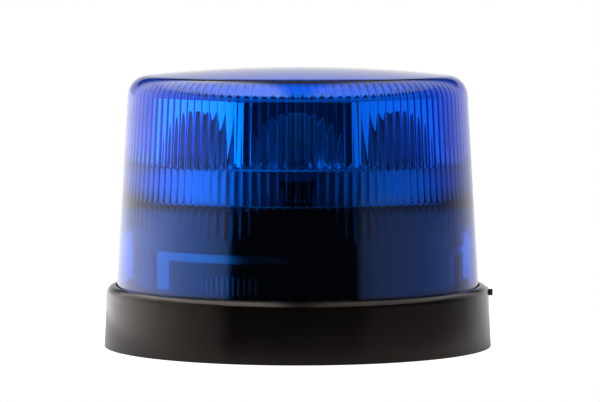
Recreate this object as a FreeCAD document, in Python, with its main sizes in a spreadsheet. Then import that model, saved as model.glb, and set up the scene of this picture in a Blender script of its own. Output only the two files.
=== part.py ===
"""Rotating warning beacon on a flat three-bolt base, as a parametric FreeCAD document.

Everything is in millimetres. +Z is up, the origin is the middle of the base's underside, and the
lock button lies along +X. Each sub-part is one object of the document, bound to the sheet.
"""

import FreeCAD
import Part
import Sketcher
import math
import os

SIZES = {
    # base
    "base_lip_wall": 3.6,
    "base_flare": 1.3,
    "base_shoulder_round": 3.4,
    "base_floor_bottom": 2.2,
    "base_floor_thickness": 3.6,
    "base_ledge_rise": 5.2,
    "bolt_set_in": 19.0,
    "insert_radius": 6.0,
    "insert_bore_radius": 3.4,
    "insert_height": 11.0,
    "insert_boss_wall": 2.6,
    "gasket_inner_radius": 30.0,
    "gasket_bolt_clearance": 1.1,
    "inlet_radius": 8.0,
    "cable_radius": 4.0,
    "grommet_lip": 2.2,
    "grommet_edge": 1.5,
    "vent_radius": 3.0,
    "vent_position": 20.0,
    "vent_cap_height": 2.4,
    # lens
    "lens_rim_radius": 78.5,
    "lens_gap": 0.6,
    "lens_taper": 5.2,
    "lens_edge_drop": 4.1,
    "lens_wall": 2.5,
    "lens_corner_round": 9.3,
    "lens_skirt_depth": 12.4,
    "lens_rim_drop": 0.4,
    "lens_headroom": 6.1,
    "seal_width": 3.4,
    "seal_height": 3.0,
    "flute_count": 120,
    "flute_depth": 0.55,
    "flute_root": 0.6,
    "flute_base_gap": 20.6,
    "flute_edge_gap": 11.5,
    "lug_count": 3,
    "lug_reach": 2.8,
    "lug_rise": 3.5,
    "lug_height": 3.0,
    "lug_angle": 14.0,
    "lens_turn_angle": 18.0,
    "lock_drop": 3.5,
    "lock_travel": 1.5,
    "lock_radius": 1.4,
    "lock_bush_wall": 0.9,
    "lock_stand_out": 2.2,
    "lock_notch_depth": 1.1,
    # drive housing
    "drum_gap": 4.0,
    "drum_seat_rise": 1.6,
    "drum_height": 49.8,
    "drum_wall": 2.4,
    "drum_roof": 3.0,
    "drum_edge_bevel": 0.8,
    "hook_height": 2.6,
    "stop_angle": 3.0,
    "pad_recess": 1.1,
    "pad_rise": 17.9,
    "pad_drop": 1.2,
    "pad_angle": 54.6,
    "pad_start": -57.6,
    "pad_border": 9.5,
    "pad_border_top": 3.7,
    "rib_count": 15,
    "rib_pitch_angle": 2.0,
    "rib_depth": 0.7,
    "rib_drop": 9.1,
    "latch_width": 11.5,
    "latch_rise": 9.8,
    "latch_thickness": 1.8,
    "latch_nose": 2.0,
    "tie_set_in": 4.2,
    "tie_radius": 4.5,
    "tie_height": 8.0,
    "spindle_boss_wall": 5.0,
    "spindle_boss_depth": 12.0,
    "idler_boss_wall": 3.0,
    "idler_boss_depth": 6.0,
    # heat sink and lamp board
    "sink_set_in": 4.0,
    "sink_wall": 2.5,
    "sink_edge_bevel": 0.8,
    "sink_hole_radius": 13.0,
    "board_thickness": 1.2,
    "board_width": 19.0,
    "board_margin": 0.9,
    "board_screw_set_in": 4.5,
    "led_side": 3.6,
    "led_height": 0.7,
    "lamp_head_height": 0.9,
    # rotor
    "reflector_count": 8,
    "reflector_set_in": 6.6,
    "reflector_focus": 7.0,
    "reflector_gap": 1.2,
    "reflector_height": 25.8,
    "reflector_depth": 20.4,
    "bowl_radius": 21.0,
    "bowl_floor_gap": 0.9,
    "carrier_seat_width": 4.0,
    "carrier_thickness": 2.4,
    "hub_radius": 9.0,
    "bush_radius": 6.0,
    "bush_length": 12.0,
    "spindle_radius": 4.0,
    "spindle_end": 2.6,
    "clip_height": 0.8,
    # gears
    "gear_room": 4.7,
    "gear_addendum": 0.8,
    "gear_dedendum": 1.15,
    "rotor_teeth": 72,
    "idler_teeth": 36,
    "pinion_teeth": 12,
    "gear_backlash": 0.16,
    "gear_face": 4.2,
    "gear_step": 1.0,
    "gear_hole_radius": 6.5,
    "idler_clip_room": 2.6,
    "idler_pin_radius": 2.0,
    "motor_angle": 120.0,
    "motor_radius": 12.0,
    "motor_length": 28.0,
    "motor_neck_radius": 3.0,
    "motor_screw_spacing": 8.0,
    "motor_shaft_radius": 1.15,
    "motor_bearing_rise": 12.0,
    "motor_cap_height": 3.0,
    # electronics
    "driver_board_gap": 0.4,
    "driver_board_rise": 11.2,
    "driver_board_thickness": 1.6,
    "standoff_radius": 3.5,
    "terminal_spacing": 7.0,
    "terminal_length": 7.0,
    "terminal_side": 2.8,
    "lead_radius": 0.8,
    "plug_height": 6.0,
    "plug_width": 8.0,
    "plug_depth": 9.5,
    "capacitor_radius": 5.0,
    "capacitor_height": 14.0,
    "capacitor_pitch": 12.0,
    "capacitor_set_in": 18.0,
    "choke_radius": 8.0,
    "choke_bore_radius": 3.2,
    "choke_height": 7.0,
    "choke_set_in": 19.2,
    "regulator_width": 10.0,
    "regulator_thickness": 4.6,
    "regulator_height": 15.0,
    "terminal_block_place": 20.0,
    "terminal_block_width": 12.0,
    "terminal_block_depth": 10.0,
    "terminal_block_height": 9.0,
    # fits
    "running_clearance": 0.05,
    "fit_clearance": 0.1,
    "open_clearance": 0.5,
    "end_play": 0.8,
    "cut_past": 1.0,
    "screw_radius": 1.5,
    "screw_head_radius": 2.8,
    "screw_head_height": 1.8,
    "screw_bite": 5.0,
}

doc = FreeCAD.newDocument("rotating_beacon")
sheet = doc.addObject("Spreadsheet::Sheet", "Sizes")
for row, (alias, number) in enumerate(SIZES.items(), start=1):
    sheet.set(f"A{row}", alias)
    sheet.set(f"B{row}", str(number))
    sheet.setAlias(f"B{row}", alias)
doc.recompute()


class Size:
    """A length from the sheet: its number now, and the expression that keeps it current."""

    def __init__(self, value, text):
        self.value = value
        self.text = text

    @staticmethod
    def of(other):
        return other if isinstance(other, Size) else Size(float(other), repr(float(other)))

    def __add__(self, other):
        other = Size.of(other)
        return Size(self.value + other.value, f"({self.text} + {other.text})")

    def __radd__(self, other):
        return Size.of(other) + self

    def __sub__(self, other):
        other = Size.of(other)
        return Size(self.value - other.value, f"({self.text} - {other.text})")

    def __rsub__(self, other):
        return Size.of(other) - self

    def __mul__(self, other):
        other = Size.of(other)
        return Size(self.value * other.value, f"({self.text} * {other.text})")

    def __rmul__(self, other):
        return self * other

    def __truediv__(self, other):
        other = Size.of(other)
        return Size(self.value / other.value, f"({self.text} / {other.text})")

    def __neg__(self):
        return self * -1


class Sizes:
    """Every cell of the sheet by its alias, as a Size."""

    def __getattr__(self, alias):
        return Size(float(sheet.get(alias)), f"Sizes.{alias}")


s = Sizes()
vector = FreeCAD.Vector
UP = vector(0, 0, 1)

# radii that several pieces share, outwards and then inwards from the lens's rim
base_lip_radius = s.lens_rim_radius + s.lens_gap
base_shoulder_radius = base_lip_radius + s.base_lip_wall
base_foot_radius = base_shoulder_radius + s.base_flare
lens_corner_radius = s.lens_rim_radius - s.lens_taper
drum_radius = s.lens_rim_radius - s.lens_wall - s.drum_gap
drum_inner_radius = drum_radius - s.drum_wall
sink_radius = drum_radius - s.sink_set_in
reflector_apothem = sink_radius - s.reflector_set_in
reflector_bore_radius = reflector_apothem - s.reflector_depth
board_outer_radius = reflector_apothem - s.board_margin
board_inner_radius = board_outer_radius - s.board_width
bowl_depth = s.bowl_radius * s.bowl_radius / (4 * s.reflector_focus)
bowl_vertex = reflector_apothem - bowl_depth
led_circle = bowl_vertex + s.reflector_focus
lead_circle = led_circle + 5 * s.lead_radius
bolt_radius = base_foot_radius - s.bolt_set_in
insert_boss_radius = s.insert_radius + s.insert_boss_wall
driver_board_radius = bolt_radius - insert_boss_radius - s.driver_board_gap
tie_circle = drum_inner_radius - s.tie_set_in
gear_train_modules = (s.rotor_teeth + s.pinion_teeth + s.idler_teeth) / 2 + s.gear_addendum
gear_module = (sink_radius - s.sink_wall - s.gear_room) / gear_train_modules
idler_distance = gear_module * (s.rotor_teeth + s.pinion_teeth) / 2
motor_distance = gear_module * (s.idler_teeth + s.pinion_teeth) / 2

# heights that several pieces share, from the floor up
floor_top = s.base_floor_bottom + s.base_floor_thickness
base_ledge_height = floor_top + s.base_ledge_rise
lens_skirt_bottom = base_ledge_height + s.seal_height
base_height = lens_skirt_bottom + s.lens_skirt_depth
lens_rim_height = base_height - s.lens_rim_drop
lock_height = base_height - s.lock_drop
lug_bottom = lens_skirt_bottom + s.lug_rise
driver_board_height = floor_top + s.driver_board_rise
driver_top = driver_board_height + s.driver_board_thickness
drum_seat = lens_skirt_bottom + s.drum_seat_rise
drum_top = drum_seat + s.drum_height
roof_bottom = drum_top - s.drum_roof
pad_top = base_height + s.pad_rise
pad_bottom = base_height - s.pad_drop
rib_top = pad_top - s.rib_drop
hub_bottom = drum_top + s.end_play
low_gear_bottom = hub_bottom
high_gear_bottom = low_gear_bottom + s.gear_face + s.gear_step
latch_top = drum_top + s.latch_rise
plate_bottom = high_gear_bottom + s.gear_face + s.idler_clip_room
sink_top = plate_bottom + s.sink_wall
board_top = sink_top + s.board_thickness
reflector_bottom = board_top + s.reflector_gap
reflector_top = reflector_bottom + s.reflector_height
hub_top = reflector_top + s.open_clearance
spindle_top = hub_top + s.spindle_end
lens_height = spindle_top + s.lens_headroom + s.lens_wall
lens_edge_height = lens_height - s.lens_edge_drop
flute_bottom = base_height + s.flute_base_gap
flute_top = lens_edge_height - s.flute_edge_gap

motor_cosine = math.cos(math.radians(s.motor_angle.value))
motor_sine = math.sin(math.radians(s.motor_angle.value))
motor_x = idler_distance + motor_distance * motor_cosine
motor_y = motor_distance * motor_sine

BOLT_ANGLES = (30, 150, 270)
TIE_ANGLES = (90, 210, 330)
LATCH_ANGLES = (-90, 30, 150)
BOARD_SCREW_ANGLES = (45, 135, 225, 315)
LAMP_SCREW_ANGLES = (-67.5, 22.5, 112.5, 202.5)
FIRST_BOWL_ANGLE = -90
VENT_ANGLE = 200
CHOKE_ANGLE = 157.6
REGULATOR_ANGLE = 198.4


def polar(radius, degrees):
    """The x and y of a point at a radius and an angle from +X."""
    turn = math.radians(degrees)
    return Size.of(radius) * round(math.cos(turn), 9), Size.of(radius) * round(math.sin(turn), 9)


# ---- PartDesign helpers ------------------------------------------------------------------------


def new_body(label):
    body = doc.addObject("PartDesign::Body", label)
    body.Label = label
    return body


def origin_item(body, role):
    return next(item for item in body.Origin.OriginFeatures if item.Role == role)


def sketch_on(body, plane, height=0.0, turned=None):
    """A sketch on one of the body's own planes, lifted, or turned about the part's Z axis."""
    sketch = body.newObject("Sketcher::SketchObject", body.Label + "_sketch")
    sketch.AttachmentSupport = [(origin_item(body, plane), "")]
    sketch.MapMode = "FlatFace"
    sketch.setExpression("AttachmentOffset.Base.z", Size.of(height).text)
    if turned is not None:
        sketch.AttachmentOffset = FreeCAD.Placement(vector(), vector(0, 1, 0), Size.of(turned).value)
        sketch.setExpression("AttachmentOffset.Rotation.Angle", Size.of(turned).text)
    return sketch


def draw_outline(sketch, points, crowned=()):
    """A closed outline through points, each tied to the sheet by its two distances.

    The stretch after a point whose number is in crowned is an arc centred on the vertical axis.
    """
    points = [(Size.of(x), Size.of(y)) for x, y in points]
    pieces = []
    ends = []
    for number, (start_x, start_y) in enumerate(points):
        end_x, end_y = points[(number + 1) % len(points)]
        start = vector(start_x.value, start_y.value, 0)
        end = vector(end_x.value, end_y.value, 0)
        if number in crowned:
            middle = (start.x**2 + start.y**2 - end.x**2 - end.y**2) / (2 * (start.y - end.y))
            centre = vector(0, middle, 0)
            circle = Part.Circle(centre, UP, start.distanceToPoint(centre))
            first = math.atan2(start.y - middle, start.x)
            last = math.atan2(end.y - middle, end.x)
            pieces.append(Part.ArcOfCircle(circle, min(first, last), max(first, last)))
            ends.append((1, 2) if first < last else (2, 1))
        else:
            pieces.append(Part.LineSegment(start, end))
            ends.append((1, 2))
    sketch.addGeometry(pieces, False)
    ties = []
    bound = []
    for number in range(len(points)):
        following = (number + 1) % len(points)
        ties.append(
            Sketcher.Constraint("Coincident", number, ends[number][1], following, ends[following][0])
        )
        if number in crowned:
            ties.append(Sketcher.Constraint("PointOnObject", number, 3, -2))
        across, along = points[number]
        for kind, distance, axis in (("DistanceX", across, -2), ("DistanceY", along, -1)):
            if distance.value == 0:
                ties.append(Sketcher.Constraint("PointOnObject", number, ends[number][0], axis))
            else:
                bound.append((len(ties), distance.text))
                ties.append(Sketcher.Constraint(kind, -1, 1, number, ends[number][0], distance.value))
    sketch.addConstraint(ties)
    for index, text in bound:
        sketch.setExpression(f"Constraints[{index}]", text)


def draw_circles(sketch, circles):
    """Circles, each given by the x and y of its centre and its radius."""
    for x, y, radius in circles:
        x, y, radius = Size.of(x), Size.of(y), Size.of(radius)
        number = sketch.addGeometry(Part.Circle(vector(x.value, y.value, 0), UP, radius.value), False)
        for kind, distance, axis in (("DistanceX", x, -2), ("DistanceY", y, -1)):
            if distance.value == 0:
                sketch.addConstraint(Sketcher.Constraint("PointOnObject", number, 3, axis))
            else:
                index = sketch.addConstraint(
                    Sketcher.Constraint(kind, -1, 1, number, 3, distance.value)
                )
                sketch.setExpression(f"Constraints[{index}]", distance.text)
        index = sketch.addConstraint(Sketcher.Constraint("Radius", number, radius.value))
        sketch.setExpression(f"Constraints[{index}]", radius.text)


def feature(body, kind, sketch):
    made = body.newObject("PartDesign::" + kind, body.Label + "_" + kind.lower())
    made.Profile = sketch
    return made


def revolve(body, points, crowned=(), kind="Revolution"):
    """A full turn of an outline of (radius, height) points about the vertical axis."""
    sketch = sketch_on(body, "XZ_Plane")
    draw_outline(sketch, points, crowned)
    made = feature(body, kind, sketch)
    made.ReferenceAxis = (sketch, ["V_Axis"])
    made.Angle = 360
    return made


def sector(body, inner, outer, bottom, top, centre, sweep, kind="Revolution"):
    """A curved block, or with Groove a curved cut, centred on an angle from +X."""
    sketch = sketch_on(body, "XZ_Plane", turned=centre)
    draw_outline(sketch, [(inner, bottom), (outer, bottom), (outer, top), (inner, top)])
    made = feature(body, kind, sketch)
    made.ReferenceAxis = (sketch, ["V_Axis"])
    made.Midplane = True
    made.setExpression("Angle", Size.of(sweep).text)
    return made


def pad(body, sketch, length):
    made = feature(body, "Pad", sketch)
    made.setExpression("Length", Size.of(length).text)
    return made


def pocket(body, sketch, length):
    """A cut that goes up from its sketch."""
    made = feature(body, "Pocket", sketch)
    made.Reversed = True
    made.setExpression("Length", Size.of(length).text)
    return made


def pad_circles(body, height, length, circles):
    sketch = sketch_on(body, "XY_Plane", height)
    draw_circles(sketch, circles)
    return pad(body, sketch, length)


def drill(body, height, length, circles):
    sketch = sketch_on(body, "XY_Plane", height)
    draw_circles(sketch, circles)
    return pocket(body, sketch, length)


def repeat_round(body, made, count, angle=360):
    """A polar pattern of a feature about the vertical axis."""
    pattern = body.newObject("PartDesign::PolarPattern", body.Label + "_pattern")
    pattern.Originals = [made]
    pattern.Axis = (origin_item(body, "Z_Axis"), [""])
    pattern.Angle = angle
    pattern.setExpression("Occurrences", Size.of(count).text)
    body.Tip = pattern
    return pattern


def round_edge(body, radius, height, size, chamfer=False):
    """A fillet, or a chamfer, on the full circle of a given radius and height."""
    doc.recompute()
    base = body.Tip
    names = []
    for number, edge in enumerate(base.Shape.Edges, start=1):
        curve = edge.Curve
        if not isinstance(curve, Part.Circle):
            continue
        if abs(curve.Radius - radius.value) < 0.01 and abs(curve.Center.z - height.value) < 0.01:
            names.append(f"Edge{number}")
    kind = "Chamfer" if chamfer else "Fillet"
    made = body.newObject("PartDesign::" + kind, body.Label + "_" + kind.lower())
    made.Base = (base, names)
    made.setExpression("Size" if chamfer else "Radius", Size.of(size).text)
    body.Tip = made
    return made


# ---- Part primitives ---------------------------------------------------------------------------


def place(item, x, y, height, axis=None, degrees=0.0):
    if axis is not None:
        item.Placement = FreeCAD.Placement(vector(), axis, degrees)
    for letter, distance in zip("xyz", (x, y, height), strict=True):
        item.setExpression("Placement.Base." + letter, Size.of(distance).text)
    return item


def cylinder(x, y, bottom, top, radius):
    item = doc.addObject("Part::Cylinder", "cylinder")
    item.setExpression("Radius", Size.of(radius).text)
    item.setExpression("Height", (Size.of(top) - bottom).text)
    return place(item, x, y, bottom)


def cross_cylinder(start, end, height, radius):
    """A cylinder along +X."""
    item = doc.addObject("Part::Cylinder", "cross_cylinder")
    item.setExpression("Radius", Size.of(radius).text)
    item.setExpression("Height", (Size.of(end) - start).text)
    return place(item, start, 0, height, vector(0, 1, 0), 90)


def block(x, y, bottom, size_x, size_y, size_z):
    """A box whose middle stands at x and y."""
    item = doc.addObject("Part::Box", "block")
    for name, size in (("Length", size_x), ("Width", size_y), ("Height", size_z)):
        item.setExpression(name, Size.of(size).text)
    return place(item, Size.of(x) - Size.of(size_x) / 2, Size.of(y) - Size.of(size_y) / 2, bottom)


def fuse(*items):
    made = doc.addObject("Part::MultiFuse", "fused")
    made.Shapes = list(items)
    return made


def cut(base, tool):
    made = doc.addObject("Part::Cut", "cut")
    made.Base = base
    made.Tool = tool
    return made


def ring(x, y, bottom, top, inner, outer):
    return cut(cylinder(x, y, bottom, top, outer), cylinder(x, y, bottom, top, inner))


def named(label, item):
    item.Label = label
    return item


def group(label, items):
    made = doc.addObject("Part::Compound", label)
    made.Links = list(items)
    return named(label, made)


def screw(x, y, head_bottom, reach, up=True):
    """A headed screw: up sets its head on top with the shank going down by reach."""
    head_top = head_bottom + s.screw_head_height
    head = cylinder(x, y, head_bottom, head_top, s.screw_head_radius)
    if up:
        return fuse(head, cylinder(x, y, head_bottom - reach, head_bottom, s.screw_radius))
    return fuse(head, cylinder(x, y, head_top, head_top + reach, s.screw_radius))


def built(label, shape, x=0, y=0):
    """A sub-part made with Part's own functions, where no feature or primitive gives its form."""
    item = doc.addObject("Part::Feature", label)
    item.Shape = shape
    return named(label, place(item, x, y, 0))


sub_parts = []


def keep(item):
    sub_parts.append(item)
    return item


# ---- base ----------------------------------------------------------------------------------------


def make_base_housing():
    """The moulded tray: outer wall, lens ledge, drum seat, and bosses for the bolts."""
    body = new_body("base_housing")
    seat_inner = drum_radius - s.drum_wall * 1.5
    revolve(body, [
        (s.inlet_radius, s.base_floor_bottom),
        (base_lip_radius, s.base_floor_bottom),
        (base_lip_radius, 0),
        (base_foot_radius, 0),
        (base_shoulder_radius, base_height),
        (base_lip_radius, base_height),
        (base_lip_radius, base_ledge_height),
        (drum_radius, base_ledge_height),
        (drum_radius, drum_seat),
        (seat_inner, drum_seat),
        (seat_inner, floor_top),
        (s.inlet_radius, floor_top),
    ])
    round_edge(body, base_shoulder_radius, base_height, s.base_shoulder_round)
    boss_top = s.base_floor_bottom + s.insert_height + s.insert_boss_wall / 2
    boss = pad_circles(body, s.base_floor_bottom, boss_top - s.base_floor_bottom,
                       [(*polar(bolt_radius, BOLT_ANGLES[0]), insert_boss_radius)])
    repeat_round(body, boss, 3)
    pillar = pad_circles(body, s.base_floor_bottom, drum_seat - s.base_floor_bottom,
                         [(*polar(tie_circle, TIE_ANGLES[0]), s.tie_radius)])
    repeat_round(body, pillar, 3)
    bore = drill(body, s.base_floor_bottom - s.cut_past, s.insert_height + s.cut_past,
                 [(*polar(bolt_radius, BOLT_ANGLES[0]), s.insert_radius)])
    repeat_round(body, bore, 3)
    tie_hole = drill(body, s.base_floor_bottom - s.cut_past, drum_seat,
                     [(*polar(tie_circle, TIE_ANGLES[0]), s.screw_radius + s.fit_clearance)])
    repeat_round(body, tie_hole, 3)
    head_hole = drill(body, s.base_floor_bottom - s.cut_past, s.screw_head_height + s.cut_past,
                      [(*polar(tie_circle, TIE_ANGLES[0]), s.screw_head_radius + s.fit_clearance)])
    repeat_round(body, head_hole, 3)
    drill(body, s.base_floor_bottom - s.cut_past, s.base_floor_thickness + 2 * s.cut_past,
          [(*polar(s.vent_position, VENT_ANGLE), s.vent_radius)])
    sketch = sketch_on(body, "YZ_Plane", drum_radius + s.lens_wall)
    draw_circles(sketch, [(0, lock_height, lock_bush_radius)])
    pocket(body, sketch, base_foot_radius - drum_radius)
    return body


lock_bush_radius = s.lock_radius + s.lock_bush_wall
lock_tip = s.lens_rim_radius - s.lock_notch_depth
lock_out = base_shoulder_radius - 2 * s.fit_clearance + s.lock_stand_out
bush_start = base_lip_radius + s.fit_clearance
bush_end = base_shoulder_radius - s.fit_clearance

keep(make_base_housing())


def make_inserts():
    """Threaded brass inserts for the three mounting bolts, moulded in from below."""
    bottom = s.base_floor_bottom
    top = bottom + s.insert_height
    return group("mounting_inserts", [
        ring(*polar(bolt_radius, angle), bottom, top, s.insert_bore_radius, s.insert_radius)
        for angle in BOLT_ANGLES
    ])


keep(make_inserts())


def make_gasket():
    """The flat rubber gasket that seals against the surface the beacon stands on."""
    body = new_body("mounting_gasket")
    outer = base_lip_radius - s.fit_clearance
    revolve(body, [
        (s.gasket_inner_radius, 0),
        (outer, 0),
        (outer, s.base_floor_bottom),
        (s.gasket_inner_radius, s.base_floor_bottom),
    ])
    hole = drill(body, -s.cut_past, s.base_floor_bottom + 2 * s.cut_past,
                 [(*polar(bolt_radius, BOLT_ANGLES[0]), s.insert_bore_radius + s.gasket_bolt_clearance)])
    repeat_round(body, hole, 3)
    return body


keep(make_gasket())


def make_grommet():
    """The rubber grommet that the supply cable is pushed through."""
    body = new_body("cable_grommet")
    lip = s.inlet_radius + s.grommet_lip
    revolve(body, [
        (s.cable_radius, s.base_floor_bottom - s.grommet_edge),
        (lip - s.grommet_edge / 2, s.base_floor_bottom - s.grommet_edge),
        (lip, s.base_floor_bottom),
        (s.inlet_radius, s.base_floor_bottom),
        (s.inlet_radius, floor_top),
        (lip, floor_top),
        (lip - s.grommet_edge / 2, floor_top + s.grommet_edge),
        (s.cable_radius, floor_top + s.grommet_edge),
    ])
    return body


keep(make_grommet())


def make_vent():
    """A breather plug that lets the warm housing equalise without letting water in."""
    x, y = polar(s.vent_position, VENT_ANGLE)
    stem = cylinder(x, y, s.base_floor_bottom, floor_top, s.vent_radius)
    cap = cylinder(x, y, floor_top, floor_top + s.vent_cap_height, s.vent_radius + s.grommet_lip)
    return named("vent_plug", fuse(stem, cap))


keep(make_vent())

seal_outer = base_lip_radius - s.fit_clearance
keep(named("lens_seal", ring(0, 0, base_ledge_height, lens_skirt_bottom,
                             seal_outer - s.seal_width, seal_outer)))


def make_lock():
    """The lock button's brass bush, and the sprung pin that the lens ramps out as it turns."""
    bush = cut(
        cross_cylinder(bush_start, bush_end, lock_height, lock_bush_radius),
        cross_cylinder(bush_start - s.cut_past, bush_end + s.cut_past, lock_height,
                       s.lock_radius + s.running_clearance),
    )
    shank_start = bush_start
    pin = fuse(
        cross_cylinder(shank_start, lock_out, lock_height, s.lock_radius),
        cross_cylinder(lock_tip, shank_start, lock_height, s.lock_radius - s.open_clearance),
    )
    return named("lock_bush", bush), named("lock_pin", pin)


lock_bush, lock_pin = make_lock()
keep(lock_bush)
keep(lock_pin)


# ---- drive housing -------------------------------------------------------------------------------


def make_drive_housing():
    """The drum behind the lens: three relief panels with grip ribs, lens hooks, and sink latches."""
    body = new_body("drive_housing")
    boss_bottom = roof_bottom - s.spindle_boss_depth
    revolve(body, [
        (drum_inner_radius, drum_seat),
        (drum_radius, drum_seat),
        (drum_radius, drum_top),
        (s.spindle_radius, drum_top),
        (s.spindle_radius, boss_bottom),
        (s.spindle_radius + s.spindle_boss_wall, boss_bottom),
        (s.spindle_radius + s.spindle_boss_wall, roof_bottom),
        (drum_inner_radius, roof_bottom),
    ])
    round_edge(body, drum_radius, drum_top, s.drum_edge_bevel, chamfer=True)
    root = drum_radius - s.drum_wall / 4
    lug_top = lug_bottom + s.lug_height
    hook_bottom = lug_top + s.open_clearance
    reach = hook_outer
    hook = sector(body, root, reach, hook_bottom, hook_bottom + s.hook_height, LUG_ANGLE,
                  s.lug_angle + HOOK_OVERHANG)
    repeat_round(body, hook, s.lug_count)
    low_stop = LUG_ANGLE - s.lug_angle / 2 - STOP_GAP - s.stop_angle / 2
    high_stop = LUG_ANGLE + s.lug_angle / 2 + s.lens_turn_angle + STOP_GAP + s.stop_angle / 2
    for angle in (low_stop, high_stop):
        stop = sector(body, root, reach, lug_bottom, hook_bottom + s.hook_height, angle,
                      s.stop_angle)
        repeat_round(body, stop, s.lug_count)

    beyond = drum_radius + s.cut_past
    floor = drum_radius - s.pad_recess
    band_bottom = pad_top - s.pad_border_top
    middle = PAD_FRONT + s.pad_start + s.pad_angle / 2
    band = sector(body, floor, beyond, band_bottom, pad_top, middle, s.pad_angle, "Groove")
    repeat_round(body, band, 3)
    edge = PAD_FRONT + s.pad_start + s.pad_border / 2
    column = sector(body, floor, beyond, pad_bottom, band_bottom, edge, s.pad_border, "Groove")
    repeat_round(body, column, 3)
    rib_start = PAD_FRONT + s.pad_start + s.pad_border + RIB_INSET
    rib_floor = drum_radius - s.rib_depth
    for panel in range(3):
        start = rib_start + 120 * panel
        rib = sector(body, rib_floor, beyond, pad_bottom, rib_top, start, s.rib_pitch_angle / 2, "Groove")
        spread = s.rib_pitch_angle.value * (s.rib_count.value - 1)
        pattern = repeat_round(body, rib, s.rib_count, spread)
        pattern.setExpression("Angle", (s.rib_pitch_angle * (s.rib_count - 1)).text)

    latch_inner = sink_radius + 3 * s.fit_clearance
    sweep = s.latch_width / (latch_inner + s.latch_thickness) * 180 / math.pi
    latch_root = roof_bottom + s.drum_roof / 2
    latch = sector(body, latch_inner, latch_inner + s.latch_thickness, latch_root, latch_top,
                   LATCH_ANGLES[0], sweep)
    repeat_round(body, latch, 3)
    nose = sector(body, sink_radius - s.sink_wall / 2, latch_inner + s.fit_clearance,
                  latch_top - s.latch_nose, latch_top, LATCH_ANGLES[0], sweep - HOOK_OVERHANG)
    repeat_round(body, nose, 3)

    tab = pad_circles(body, drum_seat, s.tie_height, [(*polar(tie_circle, TIE_ANGLES[0]), s.tie_radius)])
    repeat_round(body, tab, 3)
    tie_hole = drill(body, drum_seat - s.cut_past, s.tie_height,
                     [(*polar(tie_circle, TIE_ANGLES[0]), s.screw_radius)])
    repeat_round(body, tie_hole, 3)
    pin_boss = pad_circles(body, roof_bottom - s.idler_boss_depth, s.idler_boss_depth + s.drum_roof / 2,
                           [(idler_distance, 0, s.idler_pin_radius + s.idler_boss_wall)])
    pin_boss.Label = "idler_boss"
    drill(body, roof_bottom - s.idler_boss_depth - s.cut_past,
          s.idler_boss_depth + s.drum_roof + 2 * s.cut_past, [(idler_distance, 0, s.idler_pin_radius)])
    drill(body, roof_bottom - s.cut_past, s.drum_roof + 2 * s.cut_past, [
        (motor_x, motor_y, s.motor_neck_radius + s.fit_clearance),
        (motor_x - s.motor_screw_spacing, motor_y, s.screw_radius + s.fit_clearance),
        (motor_x + s.motor_screw_spacing, motor_y, s.screw_radius + s.fit_clearance),
        *lead_holes(),
    ])
    drill(body, drum_top - s.screw_head_height, s.screw_head_height + s.cut_past, [
        (motor_x - s.motor_screw_spacing, motor_y, s.screw_head_radius + s.fit_clearance),
        (motor_x + s.motor_screw_spacing, motor_y, s.screw_head_radius + s.fit_clearance),
    ])
    return body


LUG_ANGLE = Size.of(60)
STOP_GAP = Size.of(0.5)
HOOK_OVERHANG = Size.of(2)
PAD_FRONT = Size.of(-90)
RIB_INSET = Size.of(6)
LEAD_ANGLES = (98, 102)
hook_outer = s.lens_rim_radius - s.lens_wall - s.open_clearance


def lead_holes():
    return [(*polar(lead_circle, angle), s.lead_radius + 3 * s.fit_clearance) for angle in LEAD_ANGLES]


keep(make_drive_housing())
keep(group("housing_screws", [
    screw(*polar(tie_circle, angle), s.base_floor_bottom,
          drum_seat - s.base_floor_bottom - s.screw_head_height + s.screw_bite, up=False)
    for angle in TIE_ANGLES
]))

# ---- heat sink and lamp board ----------------------------------------------------------------------


def make_heat_sink():
    """The spun aluminium cup that covers the gears and carries the lamp board."""
    body = new_body("heat_sink")
    inner = sink_radius - s.sink_wall
    revolve(body, [
        (sink_radius, drum_top),
        (sink_radius, sink_top),
        (s.sink_hole_radius, sink_top),
        (s.sink_hole_radius, plate_bottom),
        (inner, plate_bottom),
        (inner, drum_top),
    ])
    round_edge(body, sink_radius, sink_top, s.sink_edge_bevel, chamfer=True)
    sweep = (s.latch_width + 2 * s.open_clearance) / sink_radius * 180 / math.pi
    window = sector(body, inner - s.cut_past, sink_radius + s.cut_past,
                    latch_top - s.latch_nose - s.fit_clearance, latch_top + s.fit_clearance,
                    LATCH_ANGLES[0], sweep, "Groove")
    repeat_round(body, window, 3)
    hole = drill(body, plate_bottom - s.cut_past, s.sink_wall + 2 * s.cut_past,
                 [(*polar(lamp_screw_circle, LAMP_SCREW_ANGLES[0]), s.screw_radius)])
    repeat_round(body, hole, 4)
    drill(body, plate_bottom - s.cut_past, s.sink_wall + 2 * s.cut_past, lead_holes())
    return body


lamp_screw_circle = board_outer_radius - s.board_screw_set_in
keep(make_heat_sink())


def make_led_board():
    """The ring-shaped lamp board on the heat sink."""
    body = new_body("led_board")
    revolve(body, [
        (board_inner_radius, sink_top),
        (board_outer_radius, sink_top),
        (board_outer_radius, board_top),
        (board_inner_radius, board_top),
    ])
    hole = drill(body, sink_top - s.cut_past, s.board_thickness + 2 * s.cut_past,
                 [(*polar(lamp_screw_circle, LAMP_SCREW_ANGLES[0]), s.screw_radius + s.fit_clearance)])
    repeat_round(body, hole, 4)
    return body


keep(make_led_board())


def make_leds():
    """One lamp under each bowl of the reflector."""
    lamps = []
    for number in range(int(s.reflector_count.value)):
        angle = FIRST_BOWL_ANGLE + 360 / s.reflector_count.value * number
        x, y = polar(led_circle, angle)
        body_block = block(x, y, board_top, s.led_side, s.led_side, s.led_height)
        lamps.append(body_block)
    return group("leds", lamps)


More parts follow.
